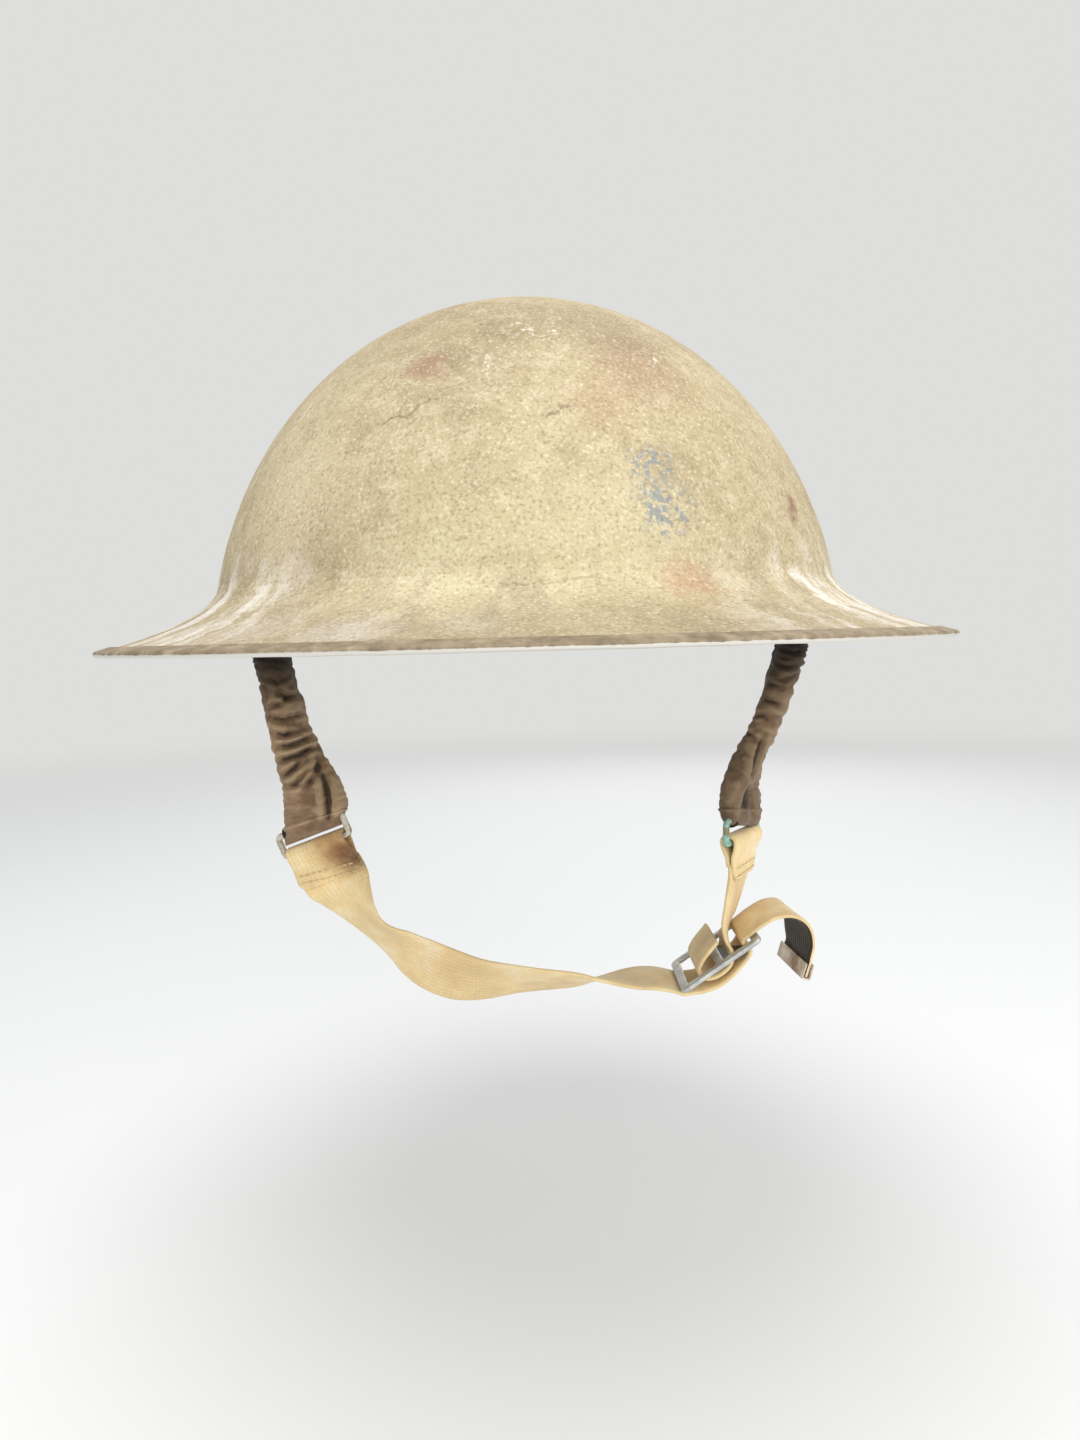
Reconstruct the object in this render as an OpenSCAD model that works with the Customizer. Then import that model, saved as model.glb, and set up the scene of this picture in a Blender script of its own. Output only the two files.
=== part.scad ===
// Shallow-bowl steel helmet with a broad brim, a padded liner and a sprung webbing chin strap.
// Units are millimetres. The origin is the centre of the rim plane. +Z is up, -Y is the front.
// Left and right are as seen from the front, so left is -X.

/* [Shell] */
// Width of the brim, side to side, over the rim strip
rim_w = 292; // [284:1:300]
// Length of the brim, front to back, over the rim strip
rim_l = 311; // [300:1:320]
// Height of the crown above the rim plane
crown_h = 118.5; // [112:0.5:125]
// Reach of the brim beyond the bowl's ellipse, at each side
brim_reach = 36; // [33:0.5:39]
// Depth of the bowl ellipse's centre below the rim plane
bowl_drop = 5.5; // [3:0.5:8]
// Thickness of the steel
shell_t = 1; // [0.8:0.1:1.4]
// Height of the neck, where the bowl turns into the brim
neck_h = 21.2; // [18:0.2:24]
// Slope of the brim below level, in degrees
brim_slope = 16; // [12:1:20]
// Length of the straight outer part of the brim
brim_flat = 7; // [6:0.5:12]
// Width of the folded rim strip
strip_w = 5.5; // [4:0.5:7]
// Thickness of the rim strip
strip_t = 0.5; // [0.3:0.1:0.8]

/* [Crown fixing] */
// Diameter of the crown screw
crown_screw_d = 4.8; // [4:0.2:6]
// Diameter of its slotted head
crown_head_d = 11; // [9:0.5:13]
// Height of its head
crown_head_h = 2.2; // [1.6:0.2:3]
// Width of the nut across its flats
nut_af = 8.7; // [8:0.1:10]
// Height of the nut
nut_h = 4; // [3:0.5:5]
// Diameter of the rubber spacer under the crown
spacer_d = 24; // [18:1:28]
// Height of the rubber spacer
spacer_h = 8; // [5:0.5:10]

/* [Liner] */
// Gap between the bowl and the headband frame at each side
side_gap = 24.3; // [22:0.1:27]
// Gap between the bowl and the headband frame at the front and back
end_gap = 13; // [11:0.1:15]
// Thickness of the fibre frame
frame_t = 1.6; // [1.2:0.2:2]
// Height of the frame's lower edge above the rim plane
frame_z = 16; // [14:0.5:20]
// Height of the frame itself
frame_h = 30; // [26:1:32]
// Thickness of the sweatband
sweat_t = 2; // [1.6:0.2:2.4]
// Width of each cross strap
cross_w = 20; // [16:1:22]
// Thickness of each cross strap
cross_t = 1.2; // [1:0.1:1.6]
// Height at which the cross straps turn upright
cross_base_z = 30; // [28:0.5:32]
// Width of each arm of the crown pad
pad_w = 34; // [26:1:40]
// Thickness of the crown pad
pad_t = 9; // [8.5:0.5:11]
// Reach of each pad arm from the centre
pad_reach = 46; // [38:1:52]
// Diameter of the pad's flat centre
pad_boss_d = 44; // [38:1:50]
// Width of each rubber buffer along the band
buffer_w = 24; // [18:1:28]
// Height of each rubber buffer
buffer_h = 20; // [14:1:22]
// Wall of each rubber buffer
buffer_wall = 3; // [2.4:0.2:3.6]

/* [Lugs and bails] */
// Height of the lug rivet above the rim plane
lug_z = 40; // [38:0.5:43]
// Width of the lug bracket
lug_w = 18; // [14:1:20]
// Thickness of the lug's steel
lug_t = 1.2; // [1:0.1:1.6]
// Diameter of the rivet's shank
rivet_d = 4; // [3:0.2:5]
// Diameter of the rivet's outer head
rivet_head_d = 9; // [7:0.5:11]
// Diameter of the bail's wire
bail_wire = 3; // [2.4:0.2:3.4]
// Inner width of the bail
bail_w = 26; // [25:0.5:30]
// Height of the bail, between the centres of its bars
bail_h = 17; // [15:0.5:19]

/* [Chin strap] */
// Width of the cotton webbing
web_w = 25.4; // [20:0.1:25.6]
// Thickness of the webbing
web_t = 1.6; // [1.2:0.1:2]
// Half the width of a gathered sleeve
sleeve_a = 10.8; // [9.8:0.1:11.4]
// Half the width of a sleeve at the ring
sleeve_end_a = 13.6; // [12:0.1:14]
// Half the thickness of the left sleeve
left_sleeve_b = 6.2; // [5.8:0.1:6.6]
// Half the thickness of the right sleeve
right_sleeve_b = 5.7; // [5.6:0.1:6.2]
// Thickness of the sleeve's cloth
sleeve_t = 1; // [0.7:0.1:1.2]
// Pitch of the sleeve's gathers
gather_pitch = 8; // [6:0.5:12]
// Depth of the sleeve's gathers
gather_depth = 0.55; // [0.2:0.05:0.7]
// Outer diameter of each coil spring
spring_d = 7; // [6:0.1:7.2]
// Wire of each coil spring
spring_wire = 1; // [0.7:0.1:1.2]
// Wire of the rings
ring_wire = 2.4; // [2:0.1:2.6]
// Inner width of the rings
ring_w = 26.4; // [26:0.1:28]
// Height of the rings, between the centres of their bars
ring_h = 8.2; // [7.8:0.1:9]
// Length of the slide buckle along the strap
slide_l = 34.7; // [32:0.1:37]
// Width of the slide buckle across the strap
slide_w = 33; // [32.6:0.1:36]
// Width of each bar of the slide
slide_bar = 3.4; // [2.6:0.1:3.8]
// Thickness of the slide's metal
slide_t = 1.8; // [1.4:0.1:2.2]
// Length of the metal tip on the strap's end
tip_l = 6; // [4:0.5:7]

/* [Hidden] */
BUFFERS = ["front_left_buffer", "left_front_buffer", "left_rear_buffer", "rear_left_buffer",
           "rear_right_buffer", "right_rear_buffer", "right_front_buffer", "front_right_buffer"];

// Clearances
seat_gap = 0.3;     // between a soft piece and its seat
press_gap = 0.05;   // between two rigid pieces that are clamped together
hole_gap = 0.2;     // round a shank in its hole
hinge_gap = 0.4;    // round a bail's bar in its lug

// Shell
oval_k = rim_l / rim_w;
bowl_a = rim_w / 2 - brim_reach;
bowl_c = crown_h + bowl_drop;
strip_over = shell_t / 2;
rim_tip = [rim_w / 2, strip_over * cos(brim_slope)];
brim_in = [-cos(brim_slope), sin(brim_slope)];
brim_up = [sin(brim_slope), cos(brim_slope)];
neck_x = bowl_a * sqrt(1 - pow((neck_h + bowl_drop) / bowl_c, 2));
neck_dir = [bowl_a * (neck_h + bowl_drop) / bowl_c, -bowl_c * neck_x / bowl_a];
flare_end = rim_tip + brim_flat * brim_in;
// The flare's control point, where the bowl's tangent at the neck meets the brim's slope
flare_s = ((rim_tip[0] - neck_x) * brim_in[1] - (rim_tip[1] - neck_h) * brim_in[0])
    / (neck_dir[0] * brim_in[1] - neck_dir[1] * brim_in[0]);
flare_mid = [neck_x, neck_h] + flare_s * neck_dir;
flare_steps = 9;
brim_edge_u = strip_t + seat_gap;

// Crown stack, from the top down
washer_d = 20;
washer_t = 1;
washer_z = -bowl_drop + (bowl_c - shell_t) * sqrt(1 - pow(washer_d / 2 / (bowl_a - shell_t), 2))
    - press_gap - washer_t;
spacer_z = washer_z - spacer_h;
cross_top_z = spacer_z;
side_top_z = cross_top_z - cross_t;
pad_top_z = side_top_z - cross_t - press_gap;
pad_web_t = 2.5;
plate_d = 18;
plate_t = 1;
plate_z = pad_top_z - pad_web_t - plate_t;
nut_z = plate_z - nut_h;
screw_end_z = nut_z - 0.6;
pad_recess_d = 24;
// The pad's flat face, a little below its arms
pad_face_z = pad_top_z - pad_t - 1.6;
// Half the length of each strap's level part, which the stack clamps
level = plate_d / 2;

// Liner
frame_out_a = bowl_a - shell_t - side_gap;
frame_out_b = (bowl_a - shell_t) * oval_k - end_gap;
liner_k = frame_out_b / frame_out_a;
frame_a = frame_out_a - frame_t;
frame_b = frame_a * liner_k;
strap_seat = 0.15;
liner_rivet_head_d = 7;
liner_rivet_head_h = 0.8;
// A flat strap end inside the curved frame stands off by the sagitta of the frame over its width
cross_a = frame_a - pow(cross_w / 2, 2) / (2 * frame_b * frame_b / frame_a) - strap_seat;
cross_b = frame_b - pow(cross_w / 2, 2) / (2 * frame_a * frame_a / frame_b) - strap_seat;
cross_foot_z = frame_z + 4;
sweat_out_a = min(cross_a - cross_t, (cross_b - cross_t) / liner_k) - seat_gap;
sweat_in_a = sweat_out_a - sweat_t;
sweat_top_z = frame_z + frame_h;
liner_rivet_d = 3;
liner_rivet_z = (frame_z + cross_base_z) / 2 + 2;
sweat_lean = 2.6;
buffer_z = frame_z + (frame_h - buffer_h) / 2;
// Thickness of a buffer between the frame and its hollow
buffer_back = buffer_wall + 1.2;
buffer_angles = [-112, -158, 158, 112, 68, 22, -22, -68];

// Lugs: a point on the bowl's inner side wall at the rivet, with the wall's direction there
wall_a = bowl_a - shell_t;
wall_c = bowl_c - shell_t;
lug_x = wall_a * sqrt(1 - pow((lug_z + bowl_drop) / wall_c, 2));
lug_lean = atan2(wall_a * wall_a * (lug_z + bowl_drop), wall_c * wall_c * lug_x);
lug_off = 0.65;
eye_r = bail_wire / 2 + hinge_gap;
eye_down = 13;
eye_in = 7;
eye_x = lug_x + eye_down * sin(lug_lean) - eye_in * cos(lug_lean);
eye_z = lug_z - eye_down * cos(lug_lean) - eye_in * sin(lug_lean);
bail_bar_z = eye_z - bail_h;
bail_bend = 3;

// Chin strap. Routes are centre points in the strap's plane, chosen by hand: x, z.
// They hang from the bails, so their spread and height follow the bails' bars from this place.
route_home = [98.99, 8.41];
// Places of the rings' upper bars and of the slide on a strap that hangs from that bail
left_ring_home = [-81.9, -69.6];
right_ring_home = [77.9, -70.3];
slide_home = [67.2, -118];
route_spread = eye_x / route_home[0];
route_rise = bail_bar_z - route_home[1];
left_route = [[-98.4, 5], [-96.4, 0.5], [-94.2, -4], [-91.5, -16.8], [-88.9, -30.5], [-86.2, -41.3],
    [-83.4, -50], [-82.6, -57], [-83.5, -63]];
right_route = [[98.6, 5], [97.2, 0], [95.6, -4], [93, -12], [88.1, -28], [84.7, -36.8],
    [79.8, -46.6], [77.4, -55], [77.7, -62.8]];
// Direction of each ring's bars, and of the strap through the ring
left_bar = unit([0.9, -0.27, 0.35]);
right_bar = unit([0.55, 0.83, 0]);
left_fall = square_to([0.36, 0, -0.93], left_bar);
right_fall = square_to([-0.03, 0, -1], right_bar);
left_ring_at = in_xz(hung(left_ring_home));
right_ring_at = in_xz(hung(right_ring_home));
flap_l = 14;
layer = web_t / 2 + 0.15;

// Long web below the left ring: x, z, then the direction of its width
long_route = [
    [[-73.2, -87.4], [0.95, -0.15, 0.29]], [[-70, -92.8], [0.8, -0.49, 0.35]], [[-66.2, -98.7], [0.61, -0.72, 0.33]],
    [[-61.5, -104.5], [0.44, -0.82, 0.36]], [[-56, -109], [0.31, -0.8, 0.51]], [[-50, -113], [0.29, -0.68, 0.67]],
    [[-44.5, -117.2], [0.3, -0.54, 0.78]], [[-38, -121.3], [0.29, -0.47, 0.83]], [[-30, -124.6], [0.22, -0.48, 0.85]],
    [[-20.5, -126.2], [0.15, -0.6, 0.78]], [[-8, -126.4], [0.07, -0.75, 0.65]], [[1.5, -126.8], [0.02, -0.82, 0.57]],
    [[14.5, -127.2], [-0.02, -0.88, 0.47]], [[23, -127.2], [-0.03, -0.95, 0.3]], [[35.5, -127], [-0.03, -1, 0.05]],
    [[44, -127.2], [0, -1, 0]], [[50, -128.3], [0, -1, 0]]];
// Its way through the slide, in the slide's own length and height, and the tail beyond it
long_in_slide = [[-17.2, -2.4], [-14.6, -3.7], [-11.2, -5.4], [-5.5, -7], [0.5, -6.8], [6, -5.5], [10.2, -4],
    [11.8, -2.4], [11.5, -0.7], [11.1, 0.9], [12, 2], [14.5, 2.2], [18.5, 2.5]];
tail_route = [
    [[86.3, -102.5], [0, -1, 0]], [[90, -101.4], [0.02, -1, 0]], [[93.6, -101.5], [0.05, -1, 0]],
    [[96.6, -103.4], [0.1, -1, 0]], [[98.5, -107], [0.17, -1, -0.03]], [[99.2, -112.2], [0.18, -1, -0.06]],
    [[98.9, -117.2], [0.1, -1, -0.1]], [[97.9, -120.4], [0.1, -1, -0.1]], [[96.9, -123.6], [0.1, -1, -0.1]]];
// Short web below the right ring, its turn round the slide's middle bar, and its loose end
short_route = [[[76.6, -87], [0.36, 0.93, 0]], [[75.2, -93], [0.2, 0.98, 0]], [[73.5, -99.4], [0.08, 1, 0]],
    [[72.3, -105], [0, 1, 0]], [[71.6, -110], [0, 1, 0]]];
short_in_slide = [[6, 1.3], [4.9, -0.8], [3, -2.7], [0, -3.7], [-4, -3.7], [-7.2, -2.3], [-8.4, 0.2],
    [-7.2, 2.7], [-4, 4.5], [0, 5.8], [3.4, 6.8]];
short_loose = 1.2;
// Room for a ring's lower bar to rock in the webbing's fold
rock_room = 1;
slide_at = in_xz(hung(slide_home));
slide_lean = 33.8;
tip_t = 0.6;
tip_gap = 0.3;

function unit(v) = v / norm(v);
function square_to(v, axis) = unit(v - (v * axis) * axis);
function mix(a, b, t) = a + (b - a) * t;
function flat(lists) = [for (l = lists) for (p = l) p];
function hung(p) = [p[0] * route_spread, p[1] + route_rise];
function in_xz(p) = [p[0], 0, p[1]];
function bezier(a, b, c, t) = (1 - t) * (1 - t) * a + 2 * t * (1 - t) * b + t * t * c;

// A smooth curve through every point of a list, with so many steps between two points
function spline_at(a, b, c, d, t) = 0.5 * (2 * b + (c - a) * t + (2 * a - 5 * b + 4 * c - d) * t * t
    + (3 * b - a - 3 * c + d) * t * t * t);
function spline(p, steps) = let (n = len(p) - 1) concat(
    [for (i = [0 : n - 1]) for (k = [0 : steps - 1])
        spline_at(p[max(i - 1, 0)], p[i], p[i + 1], p[min(i + 2, n)], k / steps)],
    [p[n]]);
function tangent(p, i) = unit(p[min(i + 1, len(p) - 1)] - p[max(i - 1, 0)]);

// A point in the slide's own length and height, as x, z
function slide_point(p) = [slide_at[0] + p[0] * cos(slide_lean) - p[1] * sin(slide_lean),
    slide_at[2] + p[0] * sin(slide_lean) + p[1] * cos(slide_lean)];

// Webbing folded round a ring's lower bar: the sewn flap, the turn and the main run.
// The strap turns from the bar's direction to the run's over the flap's length.
function fold(bar_at, fall, bar, run_bar, loose) =
    let (out = cross(fall, bar), r = ring_wire / 2 + seat_gap + web_t / 2, w = r + rock_room)
    [for (p = [[flap_l, layer], [flap_l * 0.7, layer + loose * 0.5], [flap_l * 0.4, layer * 1.2 + loose],
            [2.6, w * 0.85 + loose * 0.3], [0, w], [-r * 0.72, w * 0.8], [-r, w * 0.35], [-r, -w * 0.35],
            [-r * 0.72, -w * 0.8], [0, -w],
            [2.6, -w * 0.85 - loose * 0.3], [flap_l * 0.4, -layer * 1.2 - loose],
            [flap_l * 0.7, -layer - loose * 0.5]])
        [bar_at + p[0] * fall + p[1] * out, unit(mix(bar, run_bar, max(0, p[0]) / flap_l))]];

// A solid from rings of points, closed by a fan at each end
module ring_solid(rings) {
    n = len(rings[0]);
    m = len(rings);
    polyhedron(flat(rings), concat(
        [[for (i = [0 : n - 1]) i]],
        [for (j = [0 : m - 2]) for (i = [0 : n - 1]) for (f = [0, 1]) f == 0
            ? [j * n + i, (j + 1) * n + i, (j + 1) * n + (i + 1) % n]
            : [j * n + i, (j + 1) * n + (i + 1) % n, j * n + (i + 1) % n]],
        [[for (i = [n - 1 : -1 : 0]) (m - 1) * n + i]]));
}

// A tube wall from outer rings and inner rings, joined at both ends. Ring counts may differ.
module tube_solid(outer, inner) {
    n = len(outer[0]);
    mo = len(outer);
    mi = len(inner);
    base = mo * n;
    polyhedron(flat(concat(outer, inner)), concat(
        [for (j = [0 : mo - 2]) for (i = [0 : n - 1]) for (f = [0, 1]) f == 0
            ? [j * n + i, (j + 1) * n + i, (j + 1) * n + (i + 1) % n]
            : [j * n + i, (j + 1) * n + (i + 1) % n, j * n + (i + 1) % n]],
        [for (j = [0 : mi - 2]) for (i = [0 : n - 1]) for (f = [0, 1]) f == 0
            ? [base + j * n + i, base + (j + 1) * n + (i + 1) % n, base + (j + 1) * n + i]
            : [base + j * n + i, base + j * n + (i + 1) % n, base + (j + 1) * n + (i + 1) % n]],
        [for (i = [0 : n - 1]) for (f = [0, 1]) f == 0
            ? [i, (i + 1) % n, base + (i + 1) % n] : [i, base + (i + 1) % n, base + i]],
        [for (i = [0 : n - 1]) for (f = [0, 1]) let (o = (mo - 1) * n, q = base + (mi - 1) * n) f == 0
            ? [o + i, q + (i + 1) % n, o + (i + 1) % n] : [o + i, q + i, q + (i + 1) % n]]));
}

// Flat webbing along stations of centre and width direction
module webbing(stations, steps) {
    c = spline([for (s = stations) s[0]], steps);
    w = spline([for (s = stations) s[1]], steps);
    ring_solid([for (i = [0 : len(c) - 1])
        let (t = tangent(c, i), a = square_to(w[i], t), b = cross(t, a))
        [for (q = [[-1, -1], [1, -1], [1, 1], [-1, 1]]) c[i] + q[0] * web_w / 2 * a + q[1] * web_t / 2 * b]]);
}

// A profile of the shell's own oval, turned in four quarters
module oval(k) {
    for (quarter = [0 : 3])
        scale([1, k, 1])
            rotate_extrude(angle = 90, start = 90 * quarter, $fn = 72)
                children();
}

module bowl_section(inset) {
    translate([0, -bowl_drop])
        scale([bowl_a - inset, bowl_c - inset])
            circle(r = 1, $fn = 96);
}

// Inside of the bowl as a solid, less a clearance
module bowl_space(clearance) {
    translate([0, 0, -bowl_drop])
        scale([wall_a - clearance, wall_a * oval_k - clearance, wall_c - clearance])
            rotate([0, 0, 52])
                sphere(r = 1, $fn = 144);
}

function flare_point(i) = bezier([neck_x, neck_h], flare_mid, flare_end, i / flare_steps);
function flare_normal(i) = let (d = unit(flare_point(min(i + 1, flare_steps)) - flare_point(max(i - 1, 0))))
    [d[1], -d[0]];
function brim_point(u, w) = rim_tip + u * brim_in + w * brim_up;

module shell() {
    color("tan")
    difference() {
        oval(oval_k) shell_section();
        for (side = [-1, 1])
            translate([side * lug_x, 0, lug_z])
                rotate([0, side * (90 - lug_lean), 0])
                    cylinder(d = rivet_d + hole_gap, h = 12 * shell_t, center = true, $fn = 24);
    }
}

module shell_section() {
    hole_r = crown_screw_d / 2 + hole_gap;
    difference() {
        union() {
            intersection() {
                bowl_section(0);
                translate([hole_r, neck_h]) square([rim_w, crown_h]);
            }
            polygon(concat([for (i = [0 : flare_steps]) flare_point(i)],
                [brim_point(brim_edge_u, 0), brim_point(brim_edge_u, -shell_t)],
                [for (i = [flare_steps : -1 : 0]) flare_point(i) + shell_t * flare_normal(i)],
                [[neck_x - 5 * shell_t, neck_h]]));
        }
        bowl_section(shell_t);
    }
}

module rim_strip() {
    top = press_gap + strip_t;
    bottom = -shell_t - press_gap - strip_t;
    color("silver")
    oval(oval_k)
        polygon([brim_point(0, top), brim_point(strip_w, top), brim_point(strip_w, press_gap),
            brim_point(strip_t, press_gap), brim_point(strip_t, bottom + strip_t),
            brim_point(strip_w, bottom + strip_t), brim_point(strip_w, bottom), brim_point(0, bottom)]);
}

module crown_screw() {
    slot_w = 1.4;
    color("dimgray")
    difference() {
        union() {
            translate([0, 0, screw_end_z])
                cylinder(d = crown_screw_d, h = crown_h - screw_end_z + crown_head_h / 2, $fn = 32);
            translate([0, 0, crown_h]) cylinder(d = crown_head_d, h = crown_head_h * 0.6, $fn = 48);
            translate([0, 0, crown_h + crown_head_h * 0.6])
                cylinder(d1 = crown_head_d, d2 = crown_head_d * 0.7, h = crown_head_h * 0.4, $fn = 48);
        }
        translate([-crown_head_d, -slot_w / 2, crown_h + crown_head_h / 2])
            cube([2 * crown_head_d, slot_w, crown_head_h]);
    }
}

module disc_with_hole(d, h, z) {
    translate([0, 0, z])
        difference() {
            cylinder(d = d, h = h, $fn = 48);
            translate([0, 0, -h]) cylinder(d = crown_screw_d + hole_gap, h = 3 * h, $fn = 32);
        }
}

module crown_washer() {
    color("dimgray") disc_with_hole(washer_d, washer_t, washer_z);
}

module crown_spacer() {
    color("black") disc_with_hole(spacer_d, spacer_h, spacer_z);
}

module crown_plate() {
    color("gray") disc_with_hole(plate_d, plate_t, plate_z);
}

module crown_nut() {
    color("gray")
    translate([0, 0, nut_z])
        difference() {
            cylinder(d = nut_af / cos(30), h = nut_h, $fn = 6);
            translate([0, 0, -nut_h]) cylinder(d = crown_screw_d + press_gap, h = 3 * nut_h, $fn = 32);
        }
}

module headband_frame() {
    color("saddlebrown")
    difference() {
        oval(liner_k) translate([frame_a, frame_z]) square([frame_t, frame_h]);
        for (turn = [0, 90])
            rotate([0, 0, turn]) liner_rivet_holes();
    }
}

module liner_rivet_holes() {
    translate([0, 0, liner_rivet_z])
        rotate([0, 90, 0])
            cylinder(d = liner_rivet_d + hole_gap, h = 4 * frame_out_b, center = true, $fn = 24);
}

module sweatband() {
    color("black")
    oval(liner_k)
        polygon([[sweat_in_a, frame_z - sweat_t - seat_gap], [frame_out_a, frame_z - sweat_t - seat_gap],
            [frame_out_a, frame_z - seat_gap], [sweat_out_a, frame_z - seat_gap],
            [sweat_out_a, cross_base_z], [sweat_out_a - sweat_lean, sweat_top_z],
            [sweat_in_a - sweat_lean, sweat_top_z], [sweat_in_a, cross_base_z]]);
}

// Arch of a strip in the plane of x and z: a level top, a quarter ellipse at each side, two upright legs
module arch_outline(half_span, top_z, foot_z) {
    rise = top_z - cross_base_z;
    for (side = [-1, 1])
        translate([side * level, cross_base_z]) scale([half_span - level, rise]) circle(r = 1, $fn = 96);
    translate([-level, foot_z]) square([2 * level, top_z - foot_z]);
    translate([-half_span, foot_z]) square([2 * half_span, cross_base_z - foot_z]);
}

module arch_section(half_span, top_z, thick) {
    difference() {
        intersection() {
            arch_outline(half_span, top_z, cross_foot_z);
            translate([-half_span, cross_foot_z]) square([2 * half_span, top_z]);
        }
        arch_outline(half_span - thick, top_z - thick, cross_foot_z - 1);
    }
}

module cross_strap(half_span, top_z) {
    difference() {
        rotate([90, 0, 0])
            linear_extrude(cross_w, center = true) arch_section(half_span, top_z, cross_t);
        translate([0, 0, top_z - 2 * cross_t]) cylinder(d = crown_screw_d + hole_gap, h = 4 * cross_t, $fn = 32);
        liner_rivet_holes();
    }
}

module cross_strap_fore_aft() {
    color("peru") rotate([0, 0, 90]) cross_strap(cross_b, cross_top_z);
}

module cross_strap_sideways() {
    color("peru") cross_strap(cross_a, side_top_z);
}

// Four rivets with flat heads outside the frame, through the frame's wall to the strap's end
module cross_strap_rivets() {
    color("gray")
    for (turn = [0, 90, 180, 270]) {
        strap_in = (turn % 180 == 0 ? cross_a : cross_b) - cross_t;
        band_out = (turn % 180 == 0 ? frame_out_a : frame_out_a * liner_k);
        rotate([0, 0, turn])
            translate([0, 0, liner_rivet_z])
                rotate([0, 90, 0]) {
                    translate([0, 0, band_out + press_gap]) cylinder(d = liner_rivet_head_d, h = liner_rivet_head_h, $fn = 32);
                    translate([0, 0, strap_in])
                        cylinder(d = liner_rivet_d, h = band_out - strap_in + liner_rivet_head_h, $fn = 24);
                }
    }
}

module pad_arm(half_span) {
    intersection() {
        rotate([90, 0, 0])
            linear_extrude(pad_w, center = true) arch_section(half_span, pad_top_z - seat_gap, pad_t);
        cylinder(r = pad_reach, h = crown_h, $fn = 72);
    }
}

module crown_pad() {
    color("dimgray")
    difference() {
        union() {
            pad_arm(cross_a - cross_t - seat_gap);
            rotate([0, 0, 90]) pad_arm(cross_b - cross_t - seat_gap);
            translate([0, 0, pad_face_z]) cylinder(d = pad_boss_d, h = pad_t - 2, $fn = 64);
            translate([0, 0, pad_face_z]) cylinder(d = plate_d, h = pad_top_z - pad_face_z, $fn = 48);
        }
        translate([0, 0, pad_top_z - 2 * pad_t])
            cylinder(d = crown_screw_d + hole_gap, h = 3 * pad_t, $fn = 32);
        translate([0, 0, pad_top_z - 2 * pad_t])
            cylinder(d = pad_recess_d, h = 2 * pad_t - pad_web_t, $fn = 48);
    }
}

// Short rubber tube that fills the gap between the frame and the bowl
module buffer(angle) {
    x = frame_out_a * cos(angle);
    y = frame_out_a * liner_k * sin(angle);
    facing = atan2(frame_out_a * y, liner_k * liner_k * frame_out_a * x);
    behind = buffer_w / 4;
    reach = side_gap + 2;
    color([0.2, 0.2, 0.2])
    difference() {
        intersection() {
            translate([x, y, buffer_z])
                rotate([0, 0, facing])
                    linear_extrude(buffer_h)
                        difference() {
                            translate([-behind, -buffer_w / 2]) square([behind + reach, buffer_w]);
                            translate([buffer_back, buffer_wall - buffer_w / 2])
                                square([buffer_hole(angle), buffer_w - 2 * buffer_wall]);
                        }
            bowl_space(seat_gap);
        }
        scale([1, liner_k, 1])
            rotate([0, 0, 90])
                translate([0, 0, buffer_z - 1])
                    cylinder(r = frame_out_a + seat_gap, h = buffer_h + 2, $fn = 96);
    }
}

// The hollow in a buffer is as deep as the gap there allows
function buffer_hole(angle) = max(buffer_wall / 2,
    mix(0.39 * end_gap, 0.42 * side_gap, pow(cos(angle), 2)));

// Profile of the folded strip in x (into the wall) and z (up along it): the eye and a leaf on each side of it.
// Each leaf runs on into the eye, whose bore trims it.
module lug_section() {
    outer_x = -lug_off;
    inner_x = -lug_off - lug_t - press_gap;
    eye_at = [-eye_in, -eye_down];
    r2 = eye_r + lug_t;
    top = 7;
    bend = -5;
    difference() {
        union() {
            translate(eye_at) circle(r = r2, $fn = 48);
            polygon([[outer_x, top], [outer_x - lug_t, top], [outer_x - lug_t, bend], eye_at + [eye_r * 0.2, 0],
                eye_at + [r2 * 0.94, -r2 * 0.3], [outer_x, bend]]);
            polygon([[inner_x, top - 1], [inner_x - lug_t, top - 1], [inner_x - lug_t, bend + 1],
                eye_at + [-r2 * 0.8, r2 * 0.58], eye_at + [-eye_r * 0.2, 0], [inner_x, bend + 0.5]]);
        }
        translate(eye_at) circle(r = eye_r, $fn = 48);
    }
}

// Moves a piece drawn on the right lug's wall to the given side
module on_lug(side) {
    scale([side, 1, 1])
        translate([lug_x, 0, lug_z])
            rotate([0, -lug_lean, 0])
                children();
}

module lug_bracket(side) {
    color("darkolivegreen")
    on_lug(side)
        difference() {
            rotate([90, 0, 0]) linear_extrude(lug_w, center = true) lug_section();
            rotate([0, -90, 0]) cylinder(d = rivet_d + hole_gap, h = 5 * lug_t, $fn = 24);
        }
}

module left_lug_bracket() {
    lug_bracket(-1);
}

module right_lug_bracket() {
    lug_bracket(1);
}

// Rivet through the bowl and both leaves, with a low head outside and a closed end inside
module lug_rivet(side) {
    grip = shell_t + lug_off + 2 * lug_t + press_gap;
    inner_head_h = 1.1;
    head_h = 0.7;
    color("tan")
    on_lug(side)
        rotate([0, 90, 0]) {
            translate([0, 0, shell_t + press_gap]) {
                cylinder(d = rivet_head_d, h = head_h, $fn = 40);
                translate([0, 0, head_h])
                    cylinder(d1 = rivet_head_d, d2 = rivet_head_d * 0.6, h = head_h, $fn = 40);
            }
            translate([0, 0, shell_t - grip - inner_head_h])
                cylinder(d = rivet_d, h = grip + inner_head_h + head_h, $fn = 24);
            translate([0, 0, shell_t - grip - press_gap - inner_head_h])
                cylinder(d = rivet_d * 1.6, h = inner_head_h, $fn = 32);
        }
}

module left_lug_rivet() {
    lug_rivet(-1);
}

module right_lug_rivet() {
    lug_rivet(1);
}

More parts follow.
